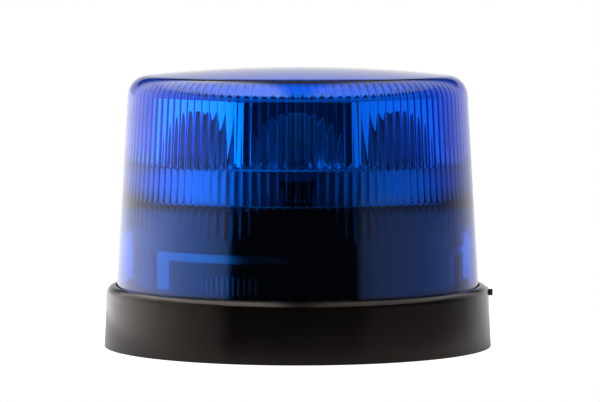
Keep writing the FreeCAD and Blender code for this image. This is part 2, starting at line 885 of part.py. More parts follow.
keep(make_leds())
keep(group("lamp_board_screws", [
    fuse(
        cylinder(*polar(lamp_screw_circle, angle), board_top, board_top + s.lamp_head_height,
                 s.screw_head_radius),
        cylinder(*polar(lamp_screw_circle, angle), plate_bottom, board_top, s.screw_radius),
    )
    for angle in LAMP_SCREW_ANGLES
]))

# ---- spindle, idler pin and motor ------------------------------------------------------------------

keep(named("spindle", cylinder(0, 0, roof_bottom - s.spindle_boss_depth, spindle_top, s.spindle_radius)))
keep(named("thrust_washer", ring(0, 0, drum_top, hub_bottom - s.running_clearance,
                                 s.spindle_radius, s.hub_radius - s.open_clearance)))
keep(group("spindle_clip", [
    ring(0, 0, hub_top + s.running_clearance, hub_top + s.clip_height, s.spindle_radius,
         s.hub_radius - 3 * s.open_clearance),
    ring(0, 0, hub_top + s.clip_height, hub_top + 2 * s.clip_height, s.spindle_radius, s.bush_radius),
]))
idler_top = high_gear_bottom + s.gear_face
keep(named("idler_pin", cylinder(idler_distance, 0, roof_bottom - s.idler_boss_depth,
                               idler_top + 1.5 * s.clip_height, s.idler_pin_radius)))
keep(named("idler_clip", ring(idler_distance, 0, idler_top + s.fit_clearance, idler_top + s.clip_height,
                              s.idler_pin_radius, 1.7 * s.idler_pin_radius)))
motor_bottom = roof_bottom - s.motor_length


def make_motor_case():
    """The drive motor's steel can with its neck, bored for the turning shaft."""
    can = cylinder(motor_x, motor_y, motor_bottom, roof_bottom, s.motor_radius)
    neck = cylinder(motor_x, motor_y, roof_bottom, drum_top, s.motor_neck_radius)
    bore = cylinder(motor_x, motor_y, motor_bottom + s.motor_bearing_rise, drum_top + s.cut_past,
                    s.motor_shaft_radius + s.running_clearance)
    holes = [
        cylinder(motor_x + side * s.motor_screw_spacing, motor_y, roof_bottom - s.drum_roof,
                 roof_bottom + s.cut_past, s.screw_radius)
        for side in (-1, 1)
    ]
    return named("motor_case", cut(fuse(can, neck), fuse(bore, *holes)))


keep(make_motor_case())
keep(named("motor_cap", cylinder(motor_x, motor_y, motor_bottom - s.motor_cap_height, motor_bottom,
                               s.motor_radius - s.open_clearance)))
keep(group("motor_screws", [
    screw(motor_x + side * s.motor_screw_spacing, motor_y, drum_top - s.screw_head_height,
          s.drum_roof - s.screw_head_height + s.screw_bite / 2)
    for side in (-1, 1)
]))
terminal_bottom = motor_bottom - s.terminal_length
keep(group("motor_terminals", [
    block(motor_x + side * s.terminal_spacing, motor_y, terminal_bottom, s.terminal_side, s.lead_radius,
          s.terminal_length - s.motor_cap_height)
    for side in (-1, 1)
]))
keep(group("motor_leads", [
    cylinder(motor_x + side * s.terminal_spacing, motor_y, driver_top, terminal_bottom, s.lead_radius)
    for side in (-1, 1)
]))
keep(group("lamp_leads", [
    cylinder(*polar(lead_circle, angle), driver_top + s.plug_height, sink_top, s.lead_radius)
    for angle in LEAD_ANGLES
]))

# ---- driver electronics ----------------------------------------------------------------------------

standoff_circle = driver_board_radius - 4 * s.screw_radius


def make_driver_board():
    """The round board that feeds the lamps and the motor."""
    body = new_body("driver_board")
    revolve(body, [
        (s.inlet_radius + s.screw_radius * 2, driver_board_height),
        (driver_board_radius, driver_board_height),
        (driver_board_radius, driver_top),
        (s.inlet_radius + s.screw_radius * 2, driver_top),
    ])
    hole = drill(body, driver_board_height - s.cut_past, s.driver_board_thickness + 2 * s.cut_past,
                 [(*polar(standoff_circle, BOARD_SCREW_ANGLES[0]), s.screw_radius + s.fit_clearance)])
    repeat_round(body, hole, 4)
    return body


keep(make_driver_board())
keep(group("board_standoffs", [
    ring(*polar(standoff_circle, angle), floor_top, driver_board_height, s.screw_radius, s.standoff_radius)
    for angle in BOARD_SCREW_ANGLES
]))
keep(group("board_screws", [
    screw(*polar(standoff_circle, angle), driver_top, driver_top - floor_top - s.screw_radius)
    for angle in BOARD_SCREW_ANGLES
]))
capacitor_y = s.capacitor_set_in - driver_board_radius
choke_x, choke_y = polar(driver_board_radius - s.choke_set_in, CHOKE_ANGLE)
regulator_x, regulator_y = polar(driver_board_radius - s.capacitor_set_in, REGULATOR_ANGLE)
keep(group("capacitors", [
    cylinder(side * s.capacitor_pitch, capacitor_y, driver_top, driver_top + s.capacitor_height,
             s.capacitor_radius)
    for side in (-1, 0, 1)
]))
keep(named("choke", ring(choke_x, choke_y, driver_top, driver_top + s.choke_height,
                         s.choke_bore_radius, s.choke_radius)))
keep(named("regulator", block(regulator_x, regulator_y, driver_top, s.regulator_width,
                              s.regulator_thickness, s.regulator_height)))


def make_terminal_block():
    """The two-pole block that takes the supply wires."""
    middle = -s.terminal_block_place
    well_pitch = s.terminal_block_width / 4
    case = block(middle, 0, driver_top, s.terminal_block_depth, s.terminal_block_width,
                 s.terminal_block_height)
    wells = [
        block(middle, side * well_pitch, driver_top + s.terminal_block_height / 2,
              s.terminal_block_depth / 2, well_pitch * 1.2, s.terminal_block_height)
        for side in (-1, 1)
    ]
    return named("terminal_block", cut(case, fuse(*wells)))


keep(make_terminal_block())
plug_x, plug_y = polar(lead_circle, (LEAD_ANGLES[0] + LEAD_ANGLES[1]) / 2)
keep(named("lamp_plug", block(plug_x, plug_y - s.plug_height / 2, driver_top, s.plug_width, s.plug_depth,
                              s.plug_height)))

# ---- rotor ---------------------------------------------------------------------------------------


def bowl_shape(vertex, floor, reach, focus):
    """A bowl that opens along +X: two tangent arcs that follow a parabola, turned about its axis."""
    mouth = 2 * math.sqrt(focus * reach)
    joint_out = 0.45 * mouth
    joint = vector(joint_out**2 / (4 * focus), joint_out, 0)
    rim = vector(reach, mouth, 0)
    inner_radius = (joint.x**2 + joint.y**2) / (2 * joint.x)
    inward = (joint - vector(inner_radius, 0, 0)) / inner_radius
    chord = rim - joint
    outer_radius = -chord.dot(chord) / (2 * chord.dot(inward))
    outer_centre = joint - inward * outer_radius
    between = (joint - outer_centre + rim - outer_centre).normalize()
    half_turn = math.atan2(joint.y, inner_radius - joint.x) / 2
    spot = vector(inner_radius * (1 - math.cos(half_turn)), inner_radius * math.sin(half_turn), 0)
    wire = Part.Wire([
        Part.Arc(vector(0, 0, 0), spot, joint).toShape(),
        Part.Arc(joint, outer_centre + between * outer_radius, rim).toShape(),
        Part.LineSegment(rim, vector(reach, 0, 0)).toShape(),
        Part.LineSegment(vector(reach, 0, 0), vector(0, 0, 0)).toShape(),
    ])
    bowl = Part.Face(wire).revolve(vector(), vector(1, 0, 0), 360)
    bowl.translate(vector(vertex, 0, floor))
    return bowl


def make_reflector_ring():
    """The mirrored ring: an eight-sided block with half a paraboloid hollowed into each side."""
    sides = int(s.reflector_count.value)
    bottom = reflector_bottom.value
    top = reflector_top.value
    corner = reflector_apothem.value / math.cos(math.pi / sides)
    first = math.radians(FIRST_BOWL_ANGLE) - math.pi / sides
    corners = []
    for number in range(sides + 1):
        turn = first + 2 * math.pi * (number % sides) / sides
        corners.append(vector(corner * math.cos(turn), corner * math.sin(turn), bottom))
    block_shape = Part.Face(Part.makePolygon(corners)).extrude(UP * (top - bottom))
    past = s.cut_past.value
    bore_start = vector(0, 0, bottom - past)
    bore = Part.makeCylinder(reflector_bore_radius.value, top - bottom + 2 * past, bore_start)
    seat_radius = (reflector_bore_radius + s.carrier_seat_width).value
    seat_bottom = (reflector_top - s.carrier_thickness).value
    seat = Part.makeCylinder(seat_radius, s.carrier_thickness.value + past, vector(0, 0, seat_bottom))
    floor = (board_top + s.bowl_floor_gap).value
    reach = (bowl_depth + s.cut_past).value
    bowl = bowl_shape(bowl_vertex.value, floor, reach, s.reflector_focus.value)
    tools = [bore, seat]
    for number in range(sides):
        copy = bowl.copy()
        copy.rotate(vector(), UP, FIRST_BOWL_ANGLE + 360 / sides * number)
        tools.append(copy)
    for angle in ROTOR_SCREW_ANGLES:
        x, y = polar(rotor_screw_circle, angle)
        tools.append(Part.makeCylinder(
            s.screw_radius.value, (s.screw_bite + 2 * s.cut_past).value,
            vector(x.value, y.value, seat_bottom - (s.screw_bite + s.cut_past).value)))
    return built("reflector_ring", block_shape.cut(tools))


ROTOR_SCREW_ANGLES = (22.5, 112.5, 202.5, 292.5)
WINDOW_SWEEP = 44
rotor_screw_circle = reflector_bore_radius + s.carrier_seat_width / 2
keep(make_reflector_ring())


def make_rotor_carrier():
    """The hub that turns on the spindle, with the windowed plate that carries the mirrors."""
    body = new_body("rotor_carrier")
    plate_low = reflector_top - s.carrier_thickness
    plate_radius = reflector_bore_radius + s.carrier_seat_width - s.fit_clearance
    relief = s.spindle_radius + s.open_clearance
    revolve(body, [
        (s.bush_radius, hub_bottom),
        (s.hub_radius, hub_bottom),
        (s.hub_radius, plate_low),
        (plate_radius, plate_low),
        (plate_radius, reflector_top),
        (s.hub_radius, reflector_top),
        (s.hub_radius, hub_top),
        (s.bush_radius, hub_top),
        (s.bush_radius, hub_top - s.bush_length),
        (relief, hub_top - s.bush_length),
        (relief, hub_bottom + s.bush_length),
        (s.bush_radius, hub_bottom + s.bush_length),
    ])
    window = sector(body, s.hub_radius + s.carrier_seat_width, reflector_bore_radius - s.carrier_seat_width,
                    plate_low - s.cut_past, reflector_top + s.cut_past, 0, WINDOW_SWEEP, "Groove")
    repeat_round(body, window, 6)
    hole = drill(body, plate_low - s.cut_past, s.carrier_thickness + 2 * s.cut_past,
                 [(*polar(rotor_screw_circle, ROTOR_SCREW_ANGLES[0]), s.screw_radius + s.fit_clearance)])
    repeat_round(body, hole, 4)
    return body


keep(make_rotor_carrier())
keep(group("rotor_bushes", [
    ring(0, 0, hub_bottom, hub_bottom + s.bush_length, s.spindle_radius + s.running_clearance,
         s.bush_radius),
    ring(0, 0, hub_top - s.bush_length, hub_top, s.spindle_radius + s.running_clearance,
         s.bush_radius),
]))
keep(group("rotor_screws", [
    fuse(
        cylinder(*polar(rotor_screw_circle, angle), reflector_top, reflector_top + s.lamp_head_height,
                 s.carrier_thickness),
        cylinder(*polar(rotor_screw_circle, angle), reflector_top - s.carrier_thickness - s.screw_bite,
                 reflector_top, s.screw_radius),
    )
    for angle in ROTOR_SCREW_ANGLES
]))

# ---- gears ---------------------------------------------------------------------------------------

PRESSURE_ANGLE = math.radians(25)


def involute(angle):
    return math.tan(angle) - angle


def gear_shape(teeth, bottom, face, bore, phase):
    """A spur gear as a solid: a tooth stands at the phase angle, and flanks follow the involute."""
    module = gear_module.value
    pitch = module * teeth / 2
    base = pitch * math.cos(PRESSURE_ANGLE)
    root = pitch - s.gear_dedendum.value * module
    tip = pitch + s.gear_addendum.value * module
    low = max(base, root)
    half_at_pitch = math.pi / (2 * teeth) - s.gear_backlash.value / (4 * pitch)

    def half_width(radius):
        return half_at_pitch + involute(PRESSURE_ANGLE) - involute(math.acos(min(1, base / radius)))

    flank = [(root, half_width(low))]
    if low > root:
        flank.append((low, half_width(low)))
    flank.append((pitch, half_width(pitch)))
    flank.append((tip, half_width(tip)))
    points = []
    for tooth in range(teeth):
        middle = math.radians(phase) + 2 * math.pi * tooth / teeth
        spots = [(radius, middle - half) for radius, half in flank]
        spots += [(radius, middle + half) for radius, half in reversed(flank)]
        points += [vector(r * math.cos(a), r * math.sin(a), bottom) for r, a in spots]
    points.append(points[0])
    disc = Part.Face(Part.makePolygon(points)).extrude(UP * face)
    return disc.cut(Part.makeCylinder(bore, face + 2, vector(0, 0, bottom - 1)))


def phase_for_gap(teeth, direction):
    """The tooth angle that leaves a gap facing a direction."""
    return direction + 180 / teeth


def make_rotor_gear():
    gear = gear_shape(int(s.rotor_teeth.value), high_gear_bottom.value, s.gear_face.value,
                      s.hub_radius.value, 0)
    middle = (s.hub_radius.value + gear_module.value * s.rotor_teeth.value / 2) / 2
    past = s.cut_past.value
    for number in range(6):
        hole = Part.makeCylinder(s.gear_hole_radius.value, s.gear_face.value + 2 * past,
                                 vector(middle, 0, high_gear_bottom.value - past))
        hole.rotate(vector(), UP, 60 * number + 30)
        gear = gear.cut(hole)
    return built("rotor_gear", gear)


def make_idler_gear():
    """The idler cluster: the large wheel is driven by the motor, the small one drives the rotor."""
    bore = (s.idler_pin_radius + s.running_clearance).value
    low = low_gear_bottom.value
    large = gear_shape(int(s.idler_teeth.value), low, s.gear_face.value, bore, s.motor_angle.value)
    small_teeth = int(s.pinion_teeth.value)
    small_bottom = low + s.gear_face.value
    small_face = high_gear_bottom.value + s.gear_face.value - small_bottom
    small = gear_shape(small_teeth, small_bottom, small_face, bore, phase_for_gap(small_teeth, 180))
    return built("idler_gear", large.fuse(small), idler_distance)


def make_motor_pinion():
    teeth = int(s.pinion_teeth.value)
    phase = phase_for_gap(teeth, s.motor_angle.value + 180)
    gear = gear_shape(teeth, low_gear_bottom.value, s.gear_face.value, s.motor_shaft_radius.value, phase)
    return built("motor_pinion", gear, motor_x, motor_y)


keep(make_rotor_gear())
keep(make_idler_gear())
keep(make_motor_pinion())
keep(named("motor_shaft", cylinder(motor_x, motor_y, motor_bottom + s.motor_bearing_rise + s.open_clearance,
                                   low_gear_bottom + s.gear_face + 2 * s.fit_clearance,
                                   s.motor_shaft_radius)))

# ---- lens ----------------------------------------------------------------------------------------


def revolved(points, crown=None):
    """A solid of revolution from (radius, height) points that start and end on the axis.

    With a crown, the stretch from the first point to the second is an arc centred on the axis.
    """
    spots = [vector(r, 0, z) for r, z in points]
    edges = []
    for number, start in enumerate(spots):
        end = spots[(number + 1) % len(spots)]
        if number == 0 and crown:
            centre_z = (end.x**2 + end.z**2 - start.z**2) / (2 * (end.z - start.z))
            radius = start.z - centre_z
            turn = math.asin(end.x / radius) / 2
            middle = vector(radius * math.sin(turn), 0, centre_z + radius * math.cos(turn))
            edges.append(Part.Arc(start, middle, end).toShape())
        else:
            edges.append(Part.LineSegment(start, end).toShape())
    return Part.Face(Part.Wire(edges)).revolve(vector(), UP, 360)


def rounded_corner(solid, height, size):
    """Rounds the full circle nearest to a height."""
    circles = [e for e in solid.Edges if not e.Degenerated and isinstance(e.Curve, Part.Circle)]
    corner = min(circles, key=lambda e: abs(e.Curve.Center.z - height))
    return solid.makeFillet(size, [corner])


def cone_radius(height):
    """The lens's outer radius at a height on its tapered wall."""
    fall = s.lens_taper.value
    rise = (lens_edge_height - lens_rim_height).value
    return s.lens_rim_radius.value - fall * (height - lens_rim_height.value) / rise


def flute_wire(height):
    """One level of the fluted inner wall: flat-topped ridges that stand inwards between the cusps."""
    count = int(s.flute_count.value)
    cusp = cone_radius(height) - s.lens_wall.value - s.flute_root.value
    crest = cusp - s.flute_depth.value
    step = 2 * math.pi / count
    points = []
    for number in range(count):
        for radius, share in ((cusp, 0), (crest, 1 / 3), (crest, 2 / 3)):
            turn = step * (number + share)
            points.append(vector(radius * math.cos(turn), radius * math.sin(turn), height))
    return Part.makePolygon([*points, points[0]])


def lens_lugs():
    """The lens's inward lugs, which lock under the drum's hooks."""
    outer = s.lens_rim_radius.value - s.lens_wall.value / 2
    inner = s.lens_rim_radius.value - s.lens_wall.value - s.lug_reach.value
    low = lug_bottom.value
    high = low + s.lug_height.value
    corners = [vector(inner, 0, low), vector(outer, 0, low), vector(outer, 0, high), vector(inner, 0, high)]
    face = Part.Face(Part.makePolygon([*corners, corners[0]]))
    lug = face.revolve(vector(), UP, s.lug_angle.value)
    lugs = []
    count = int(s.lug_count.value)
    for number in range(count):
        copy = lug.copy()
        copy.rotate(vector(), UP, LUG_ANGLE.value - s.lug_angle.value / 2 + 360 / count * number)
        lugs.append(copy)
    return lugs


def lock_notch():
    """The notch that holds the lock pin, with the ramp that pushes the pin out as the lens turns."""
    floor = (lock_tip - s.running_clearance).value
    beyond = (s.lens_rim_radius + s.cut_past).value
    half = math.degrees(math.asin((s.lock_radius - s.open_clearance).value / floor))
    slope = s.lock_travel.value / s.lens_turn_angle.value
    steps = 8
    spots = [(beyond, 2.2 * half), (floor, 1.6 * half), (floor, -half)]
    spots += [
        (floor + (beyond - floor) * step / steps, -half - (beyond - floor) / slope * step / steps)
        for step in range(1, steps + 1)
    ]
    low = lock_height.value - s.lock_radius.value
    points = [
        vector(r * math.cos(math.radians(a)), r * math.sin(math.radians(a)), low) for r, a in spots
    ]
    mid_angle = math.radians(spots[-1][1] / 2)
    outside = vector((beyond + 1.2) * math.cos(mid_angle), (beyond + 1.2) * math.sin(mid_angle), low)
    points += [outside, points[0]]
    return Part.Face(Part.makePolygon(points)).extrude(UP * (2 * s.lock_radius.value))


def make_lens():
    """The blue lens: a crowned, tapered cap with vertical flutes moulded inside."""
    wall = s.lens_wall.value
    edge = lens_edge_height.value
    rim = s.lens_rim_radius.value
    outer = revolved([
        (0, lens_height.value),
        (lens_corner_radius.value, edge),
        (rim, lens_rim_height.value),
        (rim, lens_skirt_bottom.value),
        (0, lens_skirt_bottom.value),
    ], crown=True)
    outer = rounded_corner(outer, edge, s.lens_corner_round.value)
    low_flute = flute_bottom.value
    high_flute = flute_top.value
    lower = revolved([
        (0, low_flute),
        (cone_radius(low_flute) - wall, low_flute),
        (rim - wall, lens_rim_height.value),
        (rim - wall, (lens_skirt_bottom - s.cut_past).value),
        (0, (lens_skirt_bottom - s.cut_past).value),
    ])
    upper = revolved([
        (0, lens_height.value - wall),
        (lens_corner_radius.value - wall, edge - wall),
        (cone_radius(high_flute) - wall, high_flute),
        (0, high_flute),
    ], crown=True)
    upper = rounded_corner(upper, edge - wall, s.lens_corner_round.value - wall)
    fluted = Part.makeLoft([flute_wire(low_flute), flute_wire(high_flute)], True, True)
    hollow = lower.fuse([fluted, upper])
    lens = outer.cut(hollow).fuse(lens_lugs()).cut(lock_notch())
    return built("lens", lens)


keep(make_lens())

# ---- check and write -----------------------------------------------------------------------------

doc.recompute()
failed = [item.Label for item in doc.Objects if {"Invalid", "Error"} & set(item.State)]
if failed:
    raise RuntimeError(f"these objects failed: {failed}")
os.makedirs("parts", exist_ok=True)
for item in sub_parts:
    if item.Shape.isNull() or not item.Shape.isValid():
        raise RuntimeError(f"{item.Label} has no valid shape")
    item.Shape.exportStep(f"parts/{item.Label}.step")
    box = item.Shape.BoundBox
    print(f"{item.Label}: {len(item.Shape.Solids)} solid(s), {item.Shape.Volume:.1f} mm3, "
          f"z {box.ZMin:.2f} to {box.ZMax:.2f}")
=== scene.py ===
"""Looks of the rotating beacon: its lens, mirrors, drum, base and inner parts around the CAD frame."""

import math

import bmesh
import bpy
from mathutils import Matrix, Vector


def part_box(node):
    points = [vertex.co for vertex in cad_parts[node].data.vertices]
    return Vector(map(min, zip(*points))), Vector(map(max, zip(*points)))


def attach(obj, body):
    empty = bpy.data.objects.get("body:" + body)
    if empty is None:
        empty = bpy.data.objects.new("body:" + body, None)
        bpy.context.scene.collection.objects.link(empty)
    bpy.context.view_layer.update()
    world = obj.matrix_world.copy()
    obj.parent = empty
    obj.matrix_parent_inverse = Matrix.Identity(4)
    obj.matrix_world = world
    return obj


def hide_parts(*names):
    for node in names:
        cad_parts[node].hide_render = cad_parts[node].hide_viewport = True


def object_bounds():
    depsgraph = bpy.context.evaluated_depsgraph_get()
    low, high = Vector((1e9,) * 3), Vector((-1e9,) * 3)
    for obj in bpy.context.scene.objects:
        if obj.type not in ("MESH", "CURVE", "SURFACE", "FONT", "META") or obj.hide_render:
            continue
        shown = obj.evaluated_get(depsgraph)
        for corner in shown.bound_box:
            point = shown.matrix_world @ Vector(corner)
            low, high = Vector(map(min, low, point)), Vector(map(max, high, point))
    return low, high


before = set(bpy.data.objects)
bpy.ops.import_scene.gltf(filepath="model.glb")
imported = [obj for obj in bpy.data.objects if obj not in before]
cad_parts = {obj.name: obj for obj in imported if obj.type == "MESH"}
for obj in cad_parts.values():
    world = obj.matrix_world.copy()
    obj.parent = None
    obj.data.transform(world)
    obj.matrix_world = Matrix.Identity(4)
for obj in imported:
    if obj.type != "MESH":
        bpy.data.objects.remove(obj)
cad_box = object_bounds()

bl_info = {
    "name": "Rotating Beacon",
    "version": (1, 0, 0),
    "blender": (4, 5, 0),
    "location": "3D View > Sidebar > Beacon",
    "description": "Builds the beacon's lens, mirror ring, drum, base and studio around its CAD frame",
    "category": "Add Mesh",
}

MM = 0.001
TURN = 2 * math.pi
JOIN_COPY = 0.01 * MM  # vertices of a CAD mesh that lie closer than this become one
JOIN_RING = 0.001 * MM  # the same for the mirror ring, whose eight sides share their borders
START_BOX = [list(corner) for corner in cad_box]


def extent(node):
    """A CAD node's outer radius about the upright axis, and its lowest and highest height."""
    low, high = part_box(node)
    return max(high.x, high.y, -low.x, -low.y), low.z, high.z


LENS_RIM, LENS_FOOT, LENS_TOP = extent("lens")
SINK_RADIUS, SINK_FOOT, SINK_TOP = extent("heat_sink")
DRUM_RADIUS = SINK_RADIUS + 4 * MM  # the drum's wall, without its hooks and stops
_, _, BASE_TOP = extent("base_housing")
_, _, DRUM_TOP = extent("drive_housing")
_, RING_FOOT, RING_TOP = extent("reflector_ring")


# ---- shader maths ------------------------------------------------------------------------------


class Value:
    """A number that changes over a surface. Arithmetic and comparisons add Math nodes."""

    def __init__(self, nodes, socket):
        self.nodes = nodes
        self.socket = socket

    def _math(self, operation, first, second):
        return self.nodes.make("ShaderNodeMath", {"operation": operation}, {0: first, 1: second})

    def __add__(self, other):
        return self._math("ADD", self, other)

    def __sub__(self, other):
        return self._math("SUBTRACT", self, other)

    def __rsub__(self, other):
        return self._math("SUBTRACT", other, self)

    def __mul__(self, other):
        return self._math("MULTIPLY", self, other)

    def __truediv__(self, other):
        return self._math("DIVIDE", self, other)

    def __gt__(self, other):
        return self._math("GREATER_THAN", self, other)

    def __lt__(self, other):
        return self._math("LESS_THAN", self, other)


class Nodes:
    """The node tree of one material or of the world."""

    def __init__(self, tree):
        self.tree = tree
        tree.nodes.clear()

    def make(self, kind, settings=None, sockets=None, output=0):
        """Adds a node with its settings and the values or links of its sockets, and gives its output."""
        node = self.tree.nodes.new(kind)
        for name, setting in (settings or {}).items():
            if name == "stops":
                self._set_stops(node.color_ramp, setting)
            else:
                setattr(node, name, setting)
        for name, value in (sockets or {}).items():
            if isinstance(value, Value):
                self.tree.links.new(value.socket, node.inputs[name])
            else:
                node.inputs[name].default_value = value
        return Value(self, node.outputs[output]) if node.outputs else None

    @staticmethod
    def _set_stops(ramp, stops):
        while len(ramp.elements) < len(stops):
            ramp.elements.new(1.0)
        for element, (position, tone) in zip(ramp.elements, stops, strict=True):
            element.position = position
            element.color = (*tone, 1.0)

    def place(self, scale=(1.0, 1.0, 1.0)):
        """The surface's own place in metres, stretched by scale."""
        spot = self.make("ShaderNodeTexCoord", output="Object")
        return self.make("ShaderNodeMapping", {}, {"Vector": spot, "Scale": scale})

    def axis(self, name):
        """One coordinate of the surface's own place."""
        spot = self.make("ShaderNodeTexCoord", output="Object")
        return self.make("ShaderNodeSeparateXYZ", {}, {"Vector": spot}, output=name)

    def radius(self):
        """The distance from the upright axis."""
        across, along = self.axis("X"), self.axis("Y")
        return self.make("ShaderNodeMath", {"operation": "SQRT"}, {0: across * across + along * along})

    def noise(self, size, detail, rough, stretch=(1.0, 1.0, 1.0)):
        """Cloudy noise whose features are about size metres across, from 0 to 1."""
        return self.make("ShaderNodeTexNoise", {}, {
            "Vector": self.place(stretch), "Scale": 1.0 / size, "Detail": detail, "Roughness": rough,
        })

    def between(self, value, low, high):
        """A value from 0 to 1 moved to run from low to high."""
        return self.make("ShaderNodeMapRange", {}, {"Value": value, "To Min": low, "To Max": high})

    def step(self, value, low, high):
        """0 below low, 1 above high, and smooth between."""
        return self.make("ShaderNodeMapRange", {"interpolation_type": "SMOOTHSTEP"}, {
            "Value": value, "From Min": low, "From Max": high,
        })

    def blend(self, factor, first, second):
        """Two colours, mixed by a factor. The numbers are the Mix node's colour sockets."""
        return self.make("ShaderNodeMix", {"data_type": "RGBA"}, {0: factor, 6: first, 7: second}, output=2)

    def bump(self, height, distance, strength):
        """A normal that follows a height map, whose full range stands distance metres high."""
        sockets = {"Height": height, "Distance": distance, "Strength": strength}
        return self.make("ShaderNodeBump", {}, sockets)

    def surface(self, **sockets):
        """The Principled shader and the output it feeds. Socket names use _ for spaces."""
        named = {name.replace("_", " "): value for name, value in sockets.items()}
        shader = self.make("ShaderNodeBsdfPrincipled", {}, named)
        self.make("ShaderNodeOutputMaterial", {}, {"Surface": shader})


def colour(red, green, blue):
    """An opaque colour, as sockets take it."""
    return (red, green, blue, 1.0)


def new_material(name):
    """A material with an empty node tree."""
    material = bpy.data.materials.new(name)
    material.use_nodes = True
    return material, Nodes(material.node_tree)


# ---- finishes ----------------------------------------------------------------------------------


def moulded_plastic(name, tint, roughness, glint=(1.0, 1.0, 1.0)):
    """Injection-moulded plastic: fine spark-eroded grain, faint flow clouds and handling polish."""
    material, nodes = new_material(name)
    grain = nodes.noise(0.35 * MM, detail=3.0, rough=0.6)
    clouds = nodes.noise(30 * MM, detail=3.0, rough=0.55)
    lighter = tuple(min(1.0, part * 1.4 + 0.0005) for part in tint)
    nodes.surface(
        Specular_Tint=colour(*glint),
        Base_Color=nodes.blend(nodes.between(clouds, 0.0, 0.6), colour(*tint), colour(*lighter)),
        Roughness=nodes.between(clouds, roughness - 0.06, roughness + 0.08),
        Normal=nodes.bump(grain, 0.01 * MM, 0.6),
    )
    return material


def polished_skin(nodes, tint, roughness):
    """Colour, roughness and normal of glossy moulded plastic with the slight waves of a thin wall."""
    waves = nodes.noise(12 * MM, detail=2.0, rough=0.4)
    specks = nodes.noise(1.2 * MM, detail=4.0, rough=0.7)
    lighter = colour(*(part * 1.3 + 0.002 for part in tint))
    return (
        nodes.blend(nodes.between(specks, 0.0, 0.35), colour(*tint), lighter),
        nodes.between(specks, roughness - 0.04, roughness + 0.06),
        nodes.bump(waves, 0.06 * MM, 0.5),
    )


def polished_plastic(name, tint, roughness):
    """Glossy moulded plastic."""
    material, nodes = new_material(name)
    base, rough, normal = polished_skin(nodes, tint, roughness)
    nodes.surface(Base_Color=base, Roughness=rough, Normal=normal)
    return material


def drum_plastic(name, look):
    """The drum's glossy plastic, hot-foiled on the floors of its sunken panels and grooves."""
    material, nodes = new_material(name)
    base, rough, normal = polished_skin(nodes, look.drum_tint, look.drum_roughness)
    radius = nodes.radius()
    height = nodes.axis("Z")
    foil = (
        (radius > DRUM_RADIUS - look.foil_depth) * (radius < DRUM_RADIUS - look.foil_start)
        * (height > BASE_TOP) * (height < DRUM_TOP - look.foil_start)
    )
    nodes.surface(
        Base_Color=nodes.blend(foil, base, colour(*look.relief_tint)),
        Metallic=foil,
        Roughness=rough + foil * look.foil_roughness,
        Specular_IOR_Level=look.drum_gloss,
        Normal=normal,
    )
    return material


def rubber(name, tint):
    """Soft matt rubber with a dusty bloom."""
    material, nodes = new_material(name)
    bloom = nodes.noise(6 * MM, detail=5.0, rough=0.65)
    pores = nodes.noise(0.5 * MM, detail=2.0, rough=0.5)
    pale = tuple(part + 0.03 for part in tint)
    nodes.surface(
        Base_Color=nodes.blend(nodes.between(bloom, 0.0, 0.5), colour(*tint), colour(*pale)),
        Roughness=nodes.between(bloom, 0.7, 0.9),
        Normal=nodes.bump(pores, 0.05 * MM, 0.7),
    )
    return material


def metal(name, tint, roughness, stretch=(1.0, 1.0, 12.0), size=2 * MM):
    """Bare metal with the fine lines of its turning or drawing."""
    material, nodes = new_material(name)
    lines = nodes.noise(size, detail=3.0, rough=0.6, stretch=stretch)
    stains = nodes.noise(10 * MM, detail=3.0, rough=0.5)
    dull = tuple(part * 0.82 for part in tint)
    nodes.surface(
        Base_Color=nodes.blend(nodes.between(stains, 0.0, 0.7), colour(*tint), colour(*dull)),
        Metallic=1.0,
        Roughness=nodes.between(lines, roughness - 0.05, roughness + 0.1),
        Normal=nodes.bump(lines, 0.02 * MM, 0.5),
    )
    return material


def mirror_coat(name, tint, roughness):
    """Vacuum-metallised plastic: near-perfect mirror, with the faint sink marks of the moulding."""
    material, nodes = new_material(name)
    waves = nodes.noise(15 * MM, detail=2.0, rough=0.4)
    haze = nodes.noise(4 * MM, detail=3.0, rough=0.6)
    nodes.surface(
        Base_Color=nodes.blend(
            nodes.between(haze, 0.0, 0.3), colour(*tint), colour(*(part * 0.9 for part in tint))
        ),
        Metallic=1.0,
        Roughness=nodes.between(haze, roughness, roughness + 0.06),
        Normal=nodes.bump(waves, 0.08 * MM, 0.4),
    )
    return material


def circuit_board(name, tint):
    """Solder mask over copper tracks, which show as slightly raised, lighter paths."""
    material, nodes = new_material(name)
    tracks = nodes.make("ShaderNodeTexBrick", {}, {
        "Vector": nodes.place(), "Scale": 130.0, "Mortar Size": 0.03,
        "Color1": colour(0, 0, 0), "Color2": colour(0, 0, 0), "Mortar": colour(1, 1, 1),
    })
    light = tuple(min(1.0, part * 1.6 + 0.01) for part in tint)
    mottle = nodes.noise(4 * MM, detail=3.0, rough=0.6)
    nodes.surface(
        Base_Color=nodes.blend(nodes.between(tracks, 0.0, 0.8), colour(*tint), colour(*light)),
        Roughness=nodes.between(mottle, 0.28, 0.42),
        Normal=nodes.bump(tracks, 0.03 * MM, 0.6),
    )
    return material


def copper_winding(name, tint):
    """Enamelled wire laid turn on turn, with painted shade darkening the grooves between the turns."""
    material, nodes = new_material(name)
    turns = nodes.make("ShaderNodeTexWave", {"bands_direction": "Z"}, {
        "Vector": nodes.place(), "Scale": 400.0, "Distortion": 0.4, "Detail": 1.0,
    }, output="Fac")
    # painted shade: the wire colour is darkened where the wave sinks, in the grooves between its turns
    dark = tuple(part * 0.45 for part in tint)
    nodes.surface(
        Base_Color=nodes.blend(turns, colour(*dark), colour(*tint)),
        Metallic=1.0,
        Roughness=nodes.between(turns, 0.38, 0.22),
        Normal=nodes.bump(turns, 0.2 * MM, 0.9),
    )
    return material


